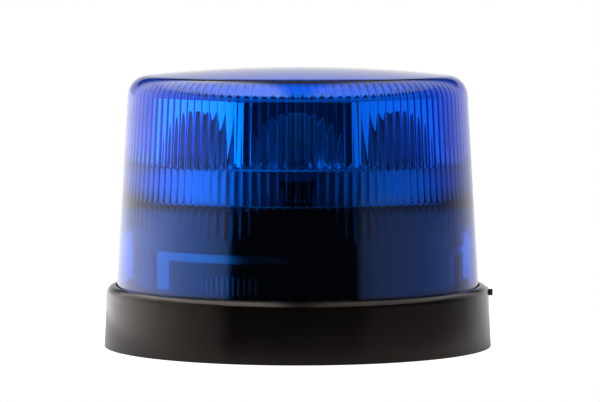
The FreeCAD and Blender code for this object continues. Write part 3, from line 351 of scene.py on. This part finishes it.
def lamp_phosphor(name, tint):
    """The yellow phosphor of an unlit white lamp under its clear resin."""
    material, nodes = new_material(name)
    grains = nodes.noise(0.4 * MM, detail=3.0, rough=0.6)
    pale = tuple(min(1.0, part + 0.1) for part in tint)
    nodes.surface(
        Base_Color=nodes.blend(grains, colour(*tint), colour(*pale)),
        Roughness=nodes.between(grains, 0.25, 0.4),
        Coat_Weight=1.0,
        Normal=nodes.bump(grains, 0.02 * MM, 0.5),
    )
    return material


def lens_plastic(name, look):
    """Clear dyed polycarbonate: the dye's depth follows the wall, and the skin is polished."""
    material, nodes = new_material(name)
    waves = nodes.noise(20 * MM, detail=2.0, rough=0.4)
    wipes = nodes.noise(3 * MM, detail=4.0, rough=0.7, stretch=(1.0, 1.0, 0.2))
    shader = nodes.make("ShaderNodeBsdfPrincipled", {}, {
        "Base Color": colour(*look.skin_tint),
        "Roughness": nodes.between(wipes, 0.0, look.haze),
        "IOR": look.index,
        "Transmission Weight": 1.0,
        "Normal": nodes.bump(waves, 0.04 * MM, 0.3),
    })
    dye = nodes.make("ShaderNodeVolumeAbsorption", {}, {
        "Color": colour(*look.dye), "Density": look.dye_density,
    })
    nodes.make("ShaderNodeOutputMaterial", {}, {"Surface": shader, "Volume": dye})
    return material


# ---- mesh helpers ------------------------------------------------------------------------------


def new_piece(name, data):
    """An object in the scene, at the frame's origin."""
    piece = bpy.data.objects.new(name, data)
    bpy.context.scene.collection.objects.link(piece)
    return piece


def dress(piece, material, body, replaced):
    """Gives a piece its material, body and finish, and hides the CAD node that it stands for."""
    piece.data.materials.clear()
    piece.data.materials.append(material)
    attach(piece, body)
    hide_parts(replaced)


def shade(mesh, soft_angle):
    """Outward faces, smooth except across edges sharper than soft_angle."""
    solid = bmesh.new()
    solid.from_mesh(mesh)
    bmesh.ops.recalc_face_normals(solid, faces=solid.faces)
    for face in solid.faces:
        face.smooth = True
    for edge in solid.edges:
        edge.smooth = len(edge.link_faces) == 2 and edge.calc_face_angle() < soft_angle
    solid.to_mesh(mesh)
    solid.free()


def settle(piece):
    """Applies a piece's modifiers to its mesh."""
    bpy.context.view_layer.update()
    seen = piece.evaluated_get(bpy.context.evaluated_depsgraph_get())
    settled = bpy.data.meshes.new_from_object(seen)
    piece.modifiers.clear()
    piece.data = settled


def redress(node, name, material, body):
    """A copy of a CAD node's mesh with joined vertices, so that its round walls shade smoothly."""
    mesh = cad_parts[node].data.copy()
    mesh.name = name
    solid = bmesh.new()
    solid.from_mesh(mesh)
    bmesh.ops.remove_doubles(solid, verts=solid.verts, dist=JOIN_COPY)
    solid.to_mesh(mesh)
    solid.free()
    shade(mesh, soft_angle=math.radians(28))
    piece = new_piece(name, mesh)
    weigher = piece.modifiers.new("normals", "WEIGHTED_NORMAL")
    weigher.keep_sharp = True
    settle(piece)
    dress(piece, material, body, node)


def finish(node, material):
    """Gives a CAD node, whose own shape is right, its finished material."""
    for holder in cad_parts[node].material_slots:
        holder.material = material


def band_faces(rows, count):
    """Quads that join closed rows of count points each."""
    faces = []
    for row in range(rows - 1):
        low = row * count
        high = low + count
        for number in range(count):
            after = (number + 1) % count
            faces.append((low + number, low + after, high + after, high + number))
    return faces


# ---- sizes and colours -------------------------------------------------------------------------


def length(name, description, default):
    """A size in metres."""
    return bpy.props.FloatProperty(
        name=name, description=description, default=default, min=0.0, precision=4,
        subtype="DISTANCE", unit="LENGTH",
    )


def tint(name, description, default):
    """A colour."""
    return bpy.props.FloatVectorProperty(
        name=name, description=description, default=default, min=0.0, max=1.0, size=3, subtype="COLOR",
    )


def share(name, description, default, high=1.0):
    """A plain number from 0 to high."""
    return bpy.props.FloatProperty(name=name, description=description, default=default, min=0.0, max=high)


class LensLook(bpy.types.PropertyGroup):
    """The blue cap."""

    wall: length("Wall", "Thickness of the cap", 2.5 * MM)
    taper: length("Taper", "How much the wall leans in over its height", 5.2 * MM)
    edge_drop: length("Crown", "How far the edge lies under the middle of the top", 4.1 * MM)
    corner: length("Corner", "Outer radius of the rounded edge", 9.3 * MM)
    rim_drop: length("Rim", "How far the straight rim stays under the base's edge", 0.4 * MM)
    flutes: bpy.props.IntProperty(
        name="Flutes", description="Upright ridges around the inside", default=120, min=12)
    low_flute: length("Low Flutes", "Depth of the flutes in front of the drum", 0.12 * MM)
    middle_flute: length("Middle Flutes", "Depth of the flutes in front of the heat sink", 0.40 * MM)
    high_flute: length("High Flutes", "Depth of the flutes in front of the mirrors", 0.55 * MM)
    flute_gap: length("Flute Gap", "Smooth wall between the base and the flutes", 26.5 * MM)
    flute_step: length("Flute Step", "How far over the heat sink the high flutes start", 1.0 * MM)
    flute_stop: length("Flute Stop", "How far under the edge the flutes start to run out", 3.4 * MM)
    segments: bpy.props.IntProperty(
        name="Segments", description="Steps around the cap in each flute", default=6, min=4, max=16)
    skin_tint: tint("Skin", "Colour that the surface itself adds", (1.0, 1.0, 1.0))
    dye: tint("Dye", "Colour that the dye lets through best", (0.0, 0.785, 0.998))
    dye_density: share("Dye Density", "How strongly a metre of the wall absorbs", 1449.0, 10000.0)
    haze: share("Haze", "Roughness of the moulded skin where it is wiped", 0.02)
    index: share("Index", "Refractive index of the plastic", 1.585, 3.0)


class MirrorLook(bpy.types.PropertyGroup):
    """The mirrored ring that turns. Its sides stand inside those of the CAD ring."""

    reach: length("Reach", "Distance of the flat sides from the middle", 56.0 * MM)
    slope_drop: length("Slope Height", "Height of the sloping edge around the top", 1.2 * MM)
    slope_width: length("Slope Width", "Width of the sloping edge around the top", 3.0 * MM)
    focus: length("Focus", "Focal length of each bowl", 9.6 * MM)
    mouth: length("Mouth", "Height of each bowl's open arch over its axis", 22.4 * MM)
    axis_drop: length("Axis Drop", "How far the bowls' axes lie under the ring", 2.2 * MM)
    narrowing: share("Narrowing", "Width of the bowls as a share of their height", 0.85)
    bore: length("Bore", "Radius of the opening in the middle", 41.0 * MM)
    seat: length("Seat", "Width of the ledge that carries the ring", 4.0 * MM)
    seat_depth: length("Seat Depth", "Depth of that ledge", 2.4 * MM)
    edge: length("Edge", "Moulded round of the ring's edges", 0.35 * MM)
    tint: tint("Tint", "Colour of the metal coat", (0.92, 0.93, 0.95))
    polish: share("Polish", "Roughness of the coating", 0.07)


class BodyLook(bpy.types.PropertyGroup):
    """The black mouldings and the metal parts."""

    base_tint: tint("Base", "Colour of the base moulding", (0.0010, 0.0009, 0.0008))
    base_glint: tint("Base Glint", "Tint of the base's reflections", (1.0, 0.82, 0.74))
    base_roughness: share("Base Roughness", "Roughness of the base moulding", 0.18)
    drum_tint: tint("Drum", "Colour of the drive housing", (0.002, 0.002, 0.002))
    drum_roughness: share("Drum Roughness", "Roughness of the drive housing", 0.10)
    drum_gloss: share("Drum Gloss", "Strength of the drive housing's reflections", 0.2)
    relief_tint: tint("Relief", "Colour of the foil in the sunken panels of the drum", (0.24, 0.21, 0.18))
    foil_start: length("Foil Start", "Least depth of the foiled floors under the drum's wall", 0.5 * MM)
    foil_depth: length("Foil Depth", "Greatest depth of the foiled floors under the drum's wall", 1.3 * MM)
    foil_roughness: share("Foil Roughness", "Roughness that the foil adds", 0.1)
    rubber_tint: tint("Rubber", "Colour of the gasket and the grommet", (0.012, 0.012, 0.012))
    sink_tint: tint("Heat Sink", "Colour of the anodised heat sink", (0.50, 0.51, 0.53))
    steel_tint: tint("Steel", "Colour of the steel parts", (0.56, 0.56, 0.57))
    brass_tint: tint("Brass", "Colour of the brass parts", (0.70, 0.50, 0.22))
    acetal_tint: tint("Acetal", "Colour of the gears", (0.80, 0.79, 0.74))
    carrier_tint: tint("Carrier", "Colour of the mirror carrier", (0.10, 0.105, 0.11))
    board_tint: tint("Lamp Board", "Colour of the lamp board", (0.68, 0.70, 0.73))
    driver_tint: tint("Driver Board", "Colour of the driver board", (0.010, 0.09, 0.035))
    phosphor_tint: tint("Phosphor", "Colour of the unlit lamps", (0.60, 0.55, 0.34))
    lead_tint: tint("Leads", "Colour of the leads", (0.45, 0.02, 0.015))
    capacitor_tint: tint("Capacitors", "Colour of the capacitors", (0.02, 0.04, 0.14))
    copper_tint: tint("Copper", "Colour of the choke's winding", (0.75, 0.33, 0.14))
    chip_tint: tint("Chip", "Colour of the regulator and the lamp plug", (0.012, 0.012, 0.013))
    terminal_tint: tint("Terminals", "Colour of the terminal block", (0.03, 0.22, 0.08))


class StudioLook(bpy.types.PropertyGroup):
    """Camera, floor and light."""

    distance: length("Distance", "How far the camera stands in front of the axis", 1.69)
    height: length("Height", "How high the camera stands", 0.178)
    aim: length("Aim", "Height that the camera looks at", 0.0626)
    side: length("Side", "How far the camera and its aim stand beside the axis", 1.0 * MM)
    lens: bpy.props.FloatProperty(name="Lens", description="Focal length in mm", default=234.0, min=10.0)
    floor: tint("Floor", "Colour of the floor", (0.86, 0.86, 0.86))
    floor_reach: length("Floor Radius", "How far the pale floor reaches", 0.2)
    above_left: share("Left Ceiling", "How much brighter the ceiling's left is than its middle", 2.2, 4.0)
    above_right: share("Right Ceiling", "How much brighter the ceiling's right is than its middle", 0.9, 4.0)
    gap: share("Ceiling Gap", "Level of the middle of the ceiling", 0.15, 4.0)
    soft: share("Soft Light", "Level of the light on dull surfaces", 0.8, 4.0)


# ---- lens --------------------------------------------------------------------------------------

ARC_STEPS = 12  # around the rounded edge
CROWN_STEPS = 14  # from the rounded edge to the middle
RIM_EDGE = 0.4 * MM  # half of the bend where the wall turns into the rim
RIM_BAND = 6 * MM  # from that bend to the next row of the rim
STEP_SOFT = 0.1 * MM  # half of the bend where the flutes grow deeper
END_FADE = 3 * MM  # over which the flutes run out at the top
# heights of the inner rows in millimetres, from where the flutes start and from the heat sink's foot and top
START_ROWS = (-4.0, -2.7, -1.5, -0.3, 1.0)
DRUM_ROWS = (-6.0, -0.1, 0.0, 0.1, 8.0)
SINK_ROWS = (0.9, 1.0, 1.1, 8.0, 16.0)
OUTER_ROWS = (90, 70, 50, 35)  # heights of the outer rows in millimetres, from the frame's origin


def cap_skin(look, inset):
    """The cap's skin, inset from the outside: its arc, and its crown up to the middle."""
    rim = Vector((LENS_RIM, BASE_TOP - look.rim_drop))
    edge = Vector((LENS_RIM - look.taper, LENS_TOP - look.edge_drop))
    along = (edge - rim).normalized()
    inward = Vector((-along.y, along.x))
    crown = (edge.x ** 2 + look.edge_drop ** 2) / (2 * look.edge_drop)
    middle = Vector((0.0, LENS_TOP - crown))
    start = rim + inward * look.corner - middle
    reach = crown - look.corner
    dot = start.dot(along)
    climb = math.sqrt(dot ** 2 - start.dot(start) + reach ** 2) - dot
    centre = rim + inward * look.corner + along * climb
    out = (centre - middle).normalized()
    radius = look.corner - inset
    low_turn = math.atan2(-inward.y, -inward.x)
    high_turn = math.atan2(out.y, out.x)
    arc = [
        centre + radius * Vector((math.cos(turn), math.sin(turn)))
        for turn in (low_turn + (high_turn - low_turn) * step / ARC_STEPS for step in range(ARC_STEPS + 1))
    ]
    crown_turn = math.atan2(out.x, out.y)
    top = [
        middle + (crown - inset) * Vector((math.sin(turn), math.cos(turn)))
        for turn in (crown_turn * (1 - step / CROWN_STEPS) for step in range(1, CROWN_STEPS))
    ]
    return arc, top


def wall_radius(look, height, inset):
    """The cap's radius at a height on its straight wall, inset along the wall's slope."""
    low = BASE_TOP - look.rim_drop
    high = LENS_TOP - look.edge_drop
    return LENS_RIM - inset - look.taper * max(0.0, height - low) / (high - low)


def smooth_step(value, low, high):
    """0 below low, 1 above high, and smooth between."""
    part = min(1.0, max(0.0, (value - low) / (high - low)))
    return part * part * (3 - 2 * part)


def flute_depth(look, height):
    """How far the flutes stand inwards at a height: three zones, each deeper than the one below."""
    start = BASE_TOP + look.flute_gap
    sink = SINK_TOP + look.flute_step
    end = LENS_TOP - look.edge_drop - look.flute_stop
    depth = look.low_flute * smooth_step(height, start + START_ROWS[0] * MM, start + START_ROWS[-1] * MM)
    for place, deeper, shallower in (
        (SINK_FOOT, look.middle_flute, look.low_flute), (sink, look.high_flute, look.middle_flute),
    ):
        depth += (deeper - shallower) * smooth_step(height, place - STEP_SOFT, place + STEP_SOFT)
    return depth * (1 - smooth_step(height, end, end + END_FADE))


def lens_mesh(look):
    """The closed cap: outer skin down, inner skin up, with flutes on the inside."""
    count = look.flutes * look.segments
    start = BASE_TOP + look.flute_gap
    heights = [start + offset * MM for offset in START_ROWS]
    heights += [SINK_FOOT + offset * MM for offset in DRUM_ROWS]
    heights += [SINK_TOP + offset * MM for offset in SINK_ROWS]
    outer_arc, outer_top = cap_skin(look, 0.0)
    inner_arc, inner_top = cap_skin(look, look.wall)
    rows = [(point, False) for point in reversed(outer_top)]
    rows += [(point, False) for point in reversed(outer_arc)]
    rim = BASE_TOP - look.rim_drop
    for height in (*(level * MM for level in OUTER_ROWS), rim + RIM_EDGE):
        rows.append((Vector((wall_radius(look, height, 0.0), height)), False))
    for height in (rim, rim - RIM_EDGE, rim - RIM_BAND, LENS_FOOT):
        rows.append((Vector((LENS_RIM, height)), False))
    for height in (LENS_FOOT, rim):
        rows.append((Vector((LENS_RIM - look.wall, height)), False))
    rows += [(Vector((wall_radius(look, height, look.wall), height)), True) for height in heights]
    rows += [(point, True) for point in inner_arc]
    rows += [(point, False) for point in inner_top]
    points = []
    for point, fluted in rows:
        depth = flute_depth(look, point.y) if fluted else 0.0
        for number in range(count):
            across = 2 * (number % look.segments) / look.segments - 1
            radius = point.x - depth * (1 - across ** 2)
            turn = TURN * number / count
            points.append((radius * math.cos(turn), radius * math.sin(turn), point.y))
    faces = band_faces(len(rows), count)
    outer_middle = len(points)
    points += [(0.0, 0.0, LENS_TOP), (0.0, 0.0, LENS_TOP - look.wall)]
    last = (len(rows) - 1) * count
    for number in range(count):
        after = (number + 1) % count
        faces.append((outer_middle, number, after))
        faces.append((outer_middle + 1, last + after, last + number))
    return points, faces


class BEACON_OT_lens(bpy.types.Operator):
    """Build the blue fluted cap"""

    bl_idname = "beacon.lens"
    bl_label = "Lens"

    def execute(self, context):
        look = context.scene.beacon_lens
        points, faces = lens_mesh(look)
        mesh = bpy.data.meshes.new("lens_cap")
        mesh.from_pydata(points, [], faces)
        mesh.validate()
        shade(mesh, soft_angle=math.radians(60))
        dress(new_piece("lens_cap", mesh), lens_plastic("lens_blue", look), "lens", "lens")
        return {"FINISHED"}


# ---- mirror ring -------------------------------------------------------------------------------


SIDES = 8
BOWL_RINGS = 18  # from a bowl's bottom to its arch
CORNER_STEPS, TOP_STEPS = 10, 20  # around the arch, up to each corner and between the corners
EDGE_PARTS = (0.25, 0.6, 1.0)  # rows on the way from the arch to the side's edges
LEAST = 1e-9  # keeps a division away from zero
ON_EDGE = 0.0001 * MM


def bowl_point(look, radius, turn):
    """A point of a bowl that faces +X: its axis lies under the ring, at the height of the lamps."""
    low = math.asin(look.axis_drop / radius)
    turn = low + (math.pi - 2 * low) * turn / math.pi
    depth = (look.mouth ** 2 - radius ** 2) / (4 * look.focus)
    return Vector((
        look.reach - depth, look.narrowing * radius * math.cos(turn),
        RING_FOOT - look.axis_drop + radius * math.sin(turn),
    ))


def facet_points(look):
    """One side of the ring, facing +X: the bowl's bottom, then rows from there to its arch and the edges."""
    half = math.tan(math.pi / SIDES) * look.reach
    height = RING_TOP - look.slope_drop - RING_FOOT
    corner = math.atan2(height, half)
    turns = []
    for first, last, count in (
        (0.0, corner, CORNER_STEPS), (corner, math.pi - corner, TOP_STEPS),
        (math.pi - corner, math.pi, CORNER_STEPS),
    ):
        turns += [first + (last - first) * step / count for step in range(count)]
    turns.append(math.pi)
    rows = []
    for ring in range(1, BOWL_RINGS + 1):
        radius = look.axis_drop + (look.mouth - look.axis_drop) * ring / BOWL_RINGS
        rows.append([bowl_point(look, radius, turn) for turn in turns])
    arch = rows[-1]
    for part in EDGE_PARTS:
        row = []
        for start, turn in zip(arch, turns, strict=True):
            way = Vector((math.cos(turn), math.sin(turn)))
            reach = min(half / max(abs(way.x), LEAST), height / max(way.y, LEAST))
            row.append(start.lerp(Vector((look.reach, reach * way.x, RING_FOOT + reach * way.y)), part))
        rows.append(row)
    return bowl_point(look, look.axis_drop, math.pi / 2), rows


def join_rows(solid, first, second):
    """Quads between two rows of as many vertices."""
    for number in range(len(first) - 1):
        solid.faces.new((first[number], first[number + 1], second[number + 1], second[number]))


def add_side(solid, look, spin, bottom, rows):
    """An eighth of the ring: its mirrored side, the top with the seat, the bore and the underside."""
    tip = solid.verts.new(spin @ bottom)
    grid = [[solid.verts.new(spin @ point) for point in row] for row in rows]
    for number in range(len(grid[0]) - 1):
        solid.faces.new((tip, grid[0][number], grid[0][number + 1]))
    for low, high in zip(grid, grid[1:]):
        for number in range(len(low) - 1):
            solid.faces.new((low[number], high[number], high[number + 1], low[number + 1]))
    top_edge = [spot for spot in grid[-1] if abs(spot.co.z - RING_TOP + look.slope_drop) < ON_EDGE]
    back = spin.inverted()
    turns = [math.atan2((back @ spot.co).y, (back @ spot.co).x) for spot in top_edge]
    inward = 1 - look.slope_width / look.reach
    inner = [solid.verts.new((spot.co.x * inward, spot.co.y * inward, RING_TOP)) for spot in top_edge]
    join_rows(solid, top_edge, inner)
    seat_radius, seat_height = look.bore + look.seat, RING_TOP - look.seat_depth
    for radius, height in (
        (seat_radius, RING_TOP), (seat_radius, seat_height), (look.bore, seat_height),
        (look.bore, RING_FOOT),
    ):
        row = [
            solid.verts.new(spin @ Vector((radius * math.cos(turn), radius * math.sin(turn), height)))
            for turn in turns
        ]
        join_rows(solid, inner, row)
        inner = row
    left, right = ([row[end] for row in grid] for end in (0, -1))
    solid.faces.new((tip, *left, *inner, *reversed(right)))


def mirror_mesh(look):
    """The whole ring: eight sides that share their borders."""
    solid = bmesh.new()
    bottom, rows = facet_points(look)
    for side in range(SIDES):
        spin = Matrix.Rotation(TURN * side / SIDES - math.pi / 2, 4, "Z")
        add_side(solid, look, spin, bottom, rows)
    bmesh.ops.remove_doubles(solid, verts=solid.verts, dist=JOIN_RING)
    mesh = bpy.data.meshes.new("mirror_ring")
    bmesh.ops.triangulate(solid, faces=[face for face in solid.faces if len(face.verts) > 4])
    solid.to_mesh(mesh)
    solid.free()
    return mesh


def soften(piece, width, angle):
    """Rounds a piece's sharp edges by a moulded radius."""
    rounder = piece.modifiers.new("edges", "BEVEL")
    rounder.width = width
    rounder.segments = 2
    rounder.limit_method = "ANGLE"
    rounder.angle_limit = angle
    settle(piece)


class BEACON_OT_mirrors(bpy.types.Operator):
    """Build the mirrored ring with its eight bowls"""

    bl_idname = "beacon.mirrors"
    bl_label = "Mirror Ring"

    def execute(self, context):
        look = context.scene.beacon_mirrors
        piece = new_piece("mirror_ring", mirror_mesh(look))
        soften(piece, look.edge, angle=math.radians(30))
        shade(piece.data, soft_angle=math.radians(35))
        coat = mirror_coat("mirror_coat", look.tint, look.polish)
        dress(piece, coat, "rotor", "reflector_ring")
        return {"FINISHED"}


# ---- base, drum and inner parts ------------------------------------------------------------------


class BEACON_OT_base(bpy.types.Operator):
    """Finish the base moulding, its gasket, inserts, grommet, vent and lock"""

    bl_idname = "beacon.base"
    bl_label = "Base"

    def execute(self, context):
        look = context.scene.beacon_body
        black = moulded_plastic("housing_black", look.base_tint, look.base_roughness, glint=look.base_glint)
        redress("base_housing", "base_tray", black, "base")
        soft = rubber("rubber_black", look.rubber_tint)
        for node in ("mounting_gasket", "cable_grommet", "lens_seal", "vent_plug"):
            finish(node, soft)
        brass = metal("brass", look.brass_tint, roughness=0.28)
        for node in ("mounting_inserts", "lock_bush"):
            finish(node, brass)
        finish("lock_pin", moulded_plastic("pin_black", look.base_tint, roughness=0.3))
        return {"FINISHED"}


class BEACON_OT_drum(bpy.types.Operator):
    """Finish the drive housing and the heat sink"""

    bl_idname = "beacon.drum"
    bl_label = "Drive Housing"

    def execute(self, context):
        look = context.scene.beacon_body
        redress("drive_housing", "drum_shell", drum_plastic("drum_black", look), "base")
        metal_skin = metal(
            "sink_aluminium", look.sink_tint, roughness=0.3, stretch=(1.0, 1.0, 20.0), size=1 * MM,
        )
        redress("heat_sink", "sink_cup", metal_skin, "base")
        return {"FINISHED"}


class BEACON_OT_works(bpy.types.Operator):
    """Finish the lamps, the drive train and the electronics"""

    bl_idname = "beacon.works"
    bl_label = "Works"

    def execute(self, context):
        look = context.scene.beacon_body
        steel = metal("steel", look.steel_tint, roughness=0.25)
        finishes = {
            circuit_board("board_white", look.board_tint): ("led_board",),
            circuit_board("board_green", look.driver_tint): ("driver_board",),
            lamp_phosphor("lamp_phosphor", look.phosphor_tint): ("leds",),
            steel: (
                "lamp_board_screws", "spindle", "spindle_clip", "idler_pin", "idler_clip", "motor_screws",
                "rotor_screws", "housing_screws", "board_screws", "motor_shaft",
            ),
            metal("motor_steel", look.steel_tint, roughness=0.35, stretch=(1.0, 1.0, 0.1)): ("motor_case",),
            metal("brass", look.brass_tint, roughness=0.3): (
                "rotor_bushes", "motor_terminals", "board_standoffs",
            ),
            moulded_plastic("acetal_white", look.acetal_tint, roughness=0.38): (
                "rotor_gear", "idler_gear", "motor_pinion", "thrust_washer", "motor_cap",
            ),
            moulded_plastic("carrier_grey", look.carrier_tint, roughness=0.4): ("rotor_carrier",),
            rubber("lead_red", look.lead_tint): ("motor_leads", "lamp_leads"),
            polished_plastic("capacitor_blue", look.capacitor_tint, roughness=0.2): ("capacitors",),
            copper_winding("copper", look.copper_tint): ("choke",),
            moulded_plastic("chip_black", look.chip_tint, roughness=0.45): ("regulator", "lamp_plug"),
            moulded_plastic("terminal_green", look.terminal_tint, roughness=0.35): ("terminal_block",),
        }
        for material, nodes in finishes.items():
            for node in nodes:
                finish(node, material)
        return {"FINISHED"}


# ---- stage -------------------------------------------------------------------------------------


def by_angle(nodes, turn, stops):
    """A level that follows stops of (degrees around, level), from -180 to 180."""
    top = max(level for _, level in stops)
    placed = [((degrees + 180) / 360, (level / top,) * 3) for degrees, level in stops]
    around = turn / TURN + 0.5
    return nodes.make("ShaderNodeValToRGB", {"stops": placed}, {"Fac": around}) * top


def by_height(nodes, up, stops):
    """A level that follows stops of (height of the direction, level), from 0 to 1."""
    placed = [(height, (level,) * 3) for height, level in stops]
    return nodes.make("ShaderNodeValToRGB", {"stops": placed}, {"Fac": up})


# levels around the room, by degrees from the camera's side: negative is the beacon's left
WALLS = (
    (-180, 1.0), (-150, 1.7), (-114, 1.6), (-98, 1.35), (-84, 1.0), (-71, 0.66), (-60, 0.53), (-47, 0.36),
    (-43, 0.015), (38, 0.015), (41, 0.16), (52, 0.21), (92, 0.22), (103, 0.25), (120, 0.36), (144, 0.9),
    (180, 1.0),
)
# what the upper part of each wall keeps of its level
UPPER_WALLS = (
    (-180, 1.0), (-140, 0.85), (-121, 0.8), (-103, 0.62), (-88, 0.66), (-75, 0.75), (-63, 0.68), (-52, 0.5),
    (-43, 0.5), (38, 0.2), (52, 0.2), (75, 0.28), (88, 0.26), (103, 0.35), (112, 0.6), (121, 0.85),
    (147, 0.95), (180, 1.0),
)
# levels that show through the lens
THROUGH_LENS = (
    (-180, 1.0), (-170, 1.0), (-155, 0.7), (-130, 1.2), (-110, 3.0), (-70, 3.0), (-47, 1.6), (-43, 0.02),
    (38, 0.02), (42, 0.5), (60, 1.0), (110, 1.1), (130, 0.5), (155, 0.4), (170, 1.0), (180, 1.0),
)
# levels by the height of the direction, from level (0) to straight up (1)
REAR = ((0.0, 1.0), (0.07, 0.82), (0.15, 0.62), (0.22, 0.5), (0.26, 0.03), (0.5, 0.03), (0.6, 0.3))
THROUGH_HIGH = ((0.0, 1.0), (0.25, 1.0), (0.45, 0.42), (0.65, 0.25), (0.8, 0.6), (1.0, 0.9))
# soft borders in the room, as parts of the direction
REAR_AWAY, REAR_UP = (0.75, 0.9), (0.02, 0.06)
CEILING_UP, CEILING_LEFT, CEILING_RIGHT = (0.5, 0.62), (0.04, 0.22), (0.05, 0.25)
UPPER_UP, UPPER_SWING, UPPER_LOW = (-0.005, 0.005), 0.129, 0.0815
CAMERA_RAY, DIFFUSE_RAY, THROUGH_RAY = "Is Camera Ray", "Is Diffuse Ray", "Is Transmission Ray"
SENSOR_WIDTH = 36.0  # millimetres, like the camera's focal length
NEAREST = 10 * MM  # from the camera
FLOOR_POINTS = 96
FLOOR_DROP = 0.1 * MM  # under the beacon's foot
FLOOR_GLOW = 1.25  # white for the camera
FLOOR_SHADOW = 0.1  # how much of the beacon's shadow the camera sees


def room_light(look):
    """The room: bright on the left, dimmer on the right, dark at the camera and over the beacon."""
    world = bpy.data.worlds.new("room")
    world.use_nodes = True
    bpy.context.scene.world = world
    nodes = Nodes(world.node_tree)
    direction = nodes.make("ShaderNodeTexCoord")
    across, away, up = (
        nodes.make("ShaderNodeSeparateXYZ", {}, {"Vector": direction}, output=axis) for axis in "XYZ"
    )
    turn = nodes.make("ShaderNodeMath", {"operation": "ARCTAN2"}, {0: across, 1: away * -1.0})
    camera_ray, diffuse_ray, through = (
        nodes.make("ShaderNodeLightPath", output=ray) for ray in (CAMERA_RAY, DIFFUSE_RAY, THROUGH_RAY)
    )
    edge = nodes.make("ShaderNodeMath", {"operation": "COSINE"}, {0: turn * 0.5}) * UPPER_SWING - UPPER_LOW
    upper = nodes.step(up - edge, *UPPER_UP)
    walls = by_angle(nodes, turn, WALLS)
    walls = walls * (upper * (by_angle(nodes, turn, UPPER_WALLS) - 1.0) + 1.0)
    rear = nodes.step(away, *REAR_AWAY) * nodes.step(up, *REAR_UP)
    level = walls + rear * (by_height(nodes, up, REAR) - walls)
    ceiling = nodes.step(across * -1.0, *CEILING_LEFT) * look.above_left + look.gap
    ceiling = ceiling + nodes.step(across, *CEILING_RIGHT) * look.above_right
    level = level + nodes.step(up, *CEILING_UP) * (ceiling - level)
    lit = by_angle(nodes, turn, THROUGH_LENS) * by_height(nodes, up, THROUGH_HIGH)
    level = level + through * (lit - level)
    level = level + diffuse_ray * (look.soft - level)
    level = level + camera_ray * (1.0 - level)
    background = nodes.make("ShaderNodeBackground", {}, {"Color": colour(1.0, 1.0, 1.0), "Strength": level})
    nodes.make("ShaderNodeOutputWorld", {}, {"Surface": background})


def pale_floor(look):
    """A round pale floor that shows white to the camera and keeps a faint shadow of the beacon."""
    material, nodes = new_material("floor")
    dust = nodes.noise(400 * MM, detail=3.0, rough=0.5)
    shader = nodes.make("ShaderNodeBsdfPrincipled", {}, {
        "Base Color": nodes.blend(nodes.between(dust, 0.0, 0.1), colour(*look.floor), colour(0.9, 0.9, 0.9)),
        "Roughness": nodes.between(dust, 0.8, 0.9),
    })
    bright = nodes.make("ShaderNodeEmission", {}, {"Color": colour(1.0, 1.0, 1.0), "Strength": FLOOR_GLOW})
    camera_ray = nodes.make("ShaderNodeLightPath", output=CAMERA_RAY)
    mixed = nodes.make("ShaderNodeMixShader", {}, {0: camera_ray * (1 - FLOOR_SHADOW), 1: shader, 2: bright})
    nodes.make("ShaderNodeOutputMaterial", {}, {"Surface": mixed})
    turns = [TURN * part / FLOOR_POINTS for part in range(FLOOR_POINTS)]
    height = START_BOX[0][2] - FLOOR_DROP
    rim = [(look.floor_reach * math.cos(turn), look.floor_reach * math.sin(turn), height) for turn in turns]
    mesh = bpy.data.meshes.new("floor")
    mesh.from_pydata(rim, [], [tuple(range(FLOOR_POINTS))])
    mesh.materials.append(material)
    return new_piece("floor", mesh)


class BEACON_OT_stage(bpy.types.Operator):
    """Set the pale floor, the light of the room and the camera"""

    bl_idname = "beacon.stage"
    bl_label = "Studio"

    def execute(self, context):
        look = context.scene.beacon_studio
        scene = context.scene
        scene.view_settings.view_transform = "Standard"
        camera_data = bpy.data.cameras.new("camera")
        camera_data.lens = look.lens
        camera_data.sensor_width = SENSOR_WIDTH
        camera_data.clip_start = NEAREST
        camera = new_piece("camera", camera_data)
        camera.location = (look.side, -look.distance, look.height)
        aim = Vector((look.side, 0.0, look.aim)) - camera.location
        camera.rotation_euler = aim.to_track_quat("-Z", "Y").to_euler()
        scene.camera = camera
        room_light(look)
        pale_floor(look)
        return {"FINISHED"}


class BEACON_PT_panel(bpy.types.Panel):
    """The beacon's builders, in the order that main runs them"""

    bl_idname = "BEACON_PT_panel"
    bl_label = "Rotating Beacon"
    bl_space_type = "VIEW_3D"
    bl_region_type = "UI"
    bl_category = "Beacon"

    def draw(self, context):
        for name, group in GROUPS.items():
            box = self.layout.box()
            for size in group.__annotations__:
                box.prop(getattr(context.scene, name), size)
        for operator in OPERATORS:
            self.layout.operator(operator.bl_idname)


GROUPS = {
    "beacon_lens": LensLook,
    "beacon_mirrors": MirrorLook,
    "beacon_body": BodyLook,
    "beacon_studio": StudioLook,
}
OPERATORS = (BEACON_OT_stage, BEACON_OT_base, BEACON_OT_drum, BEACON_OT_works, BEACON_OT_mirrors,
             BEACON_OT_lens)


def register():
    for group in GROUPS.values():
        bpy.utils.register_class(group)
    for operator in OPERATORS:
        bpy.utils.register_class(operator)
    bpy.utils.register_class(BEACON_PT_panel)
    for name, group in GROUPS.items():
        setattr(bpy.types.Scene, name, bpy.props.PointerProperty(type=group))


def unregister():
    for name in GROUPS:
        delattr(bpy.types.Scene, name)
    bpy.utils.unregister_class(BEACON_PT_panel)
    for operator in reversed(OPERATORS):
        bpy.utils.unregister_class(operator)
    for group in reversed(GROUPS.values()):
        bpy.utils.unregister_class(group)


def main():
    register()
    bpy.ops.beacon.stage()
    bpy.ops.beacon.base()
    bpy.ops.beacon.drum()
    bpy.ops.beacon.works()
    bpy.ops.beacon.mirrors()
    bpy.ops.beacon.lens()
    bpy.context.view_layer.update()


if __name__ == "__main__":
    main()
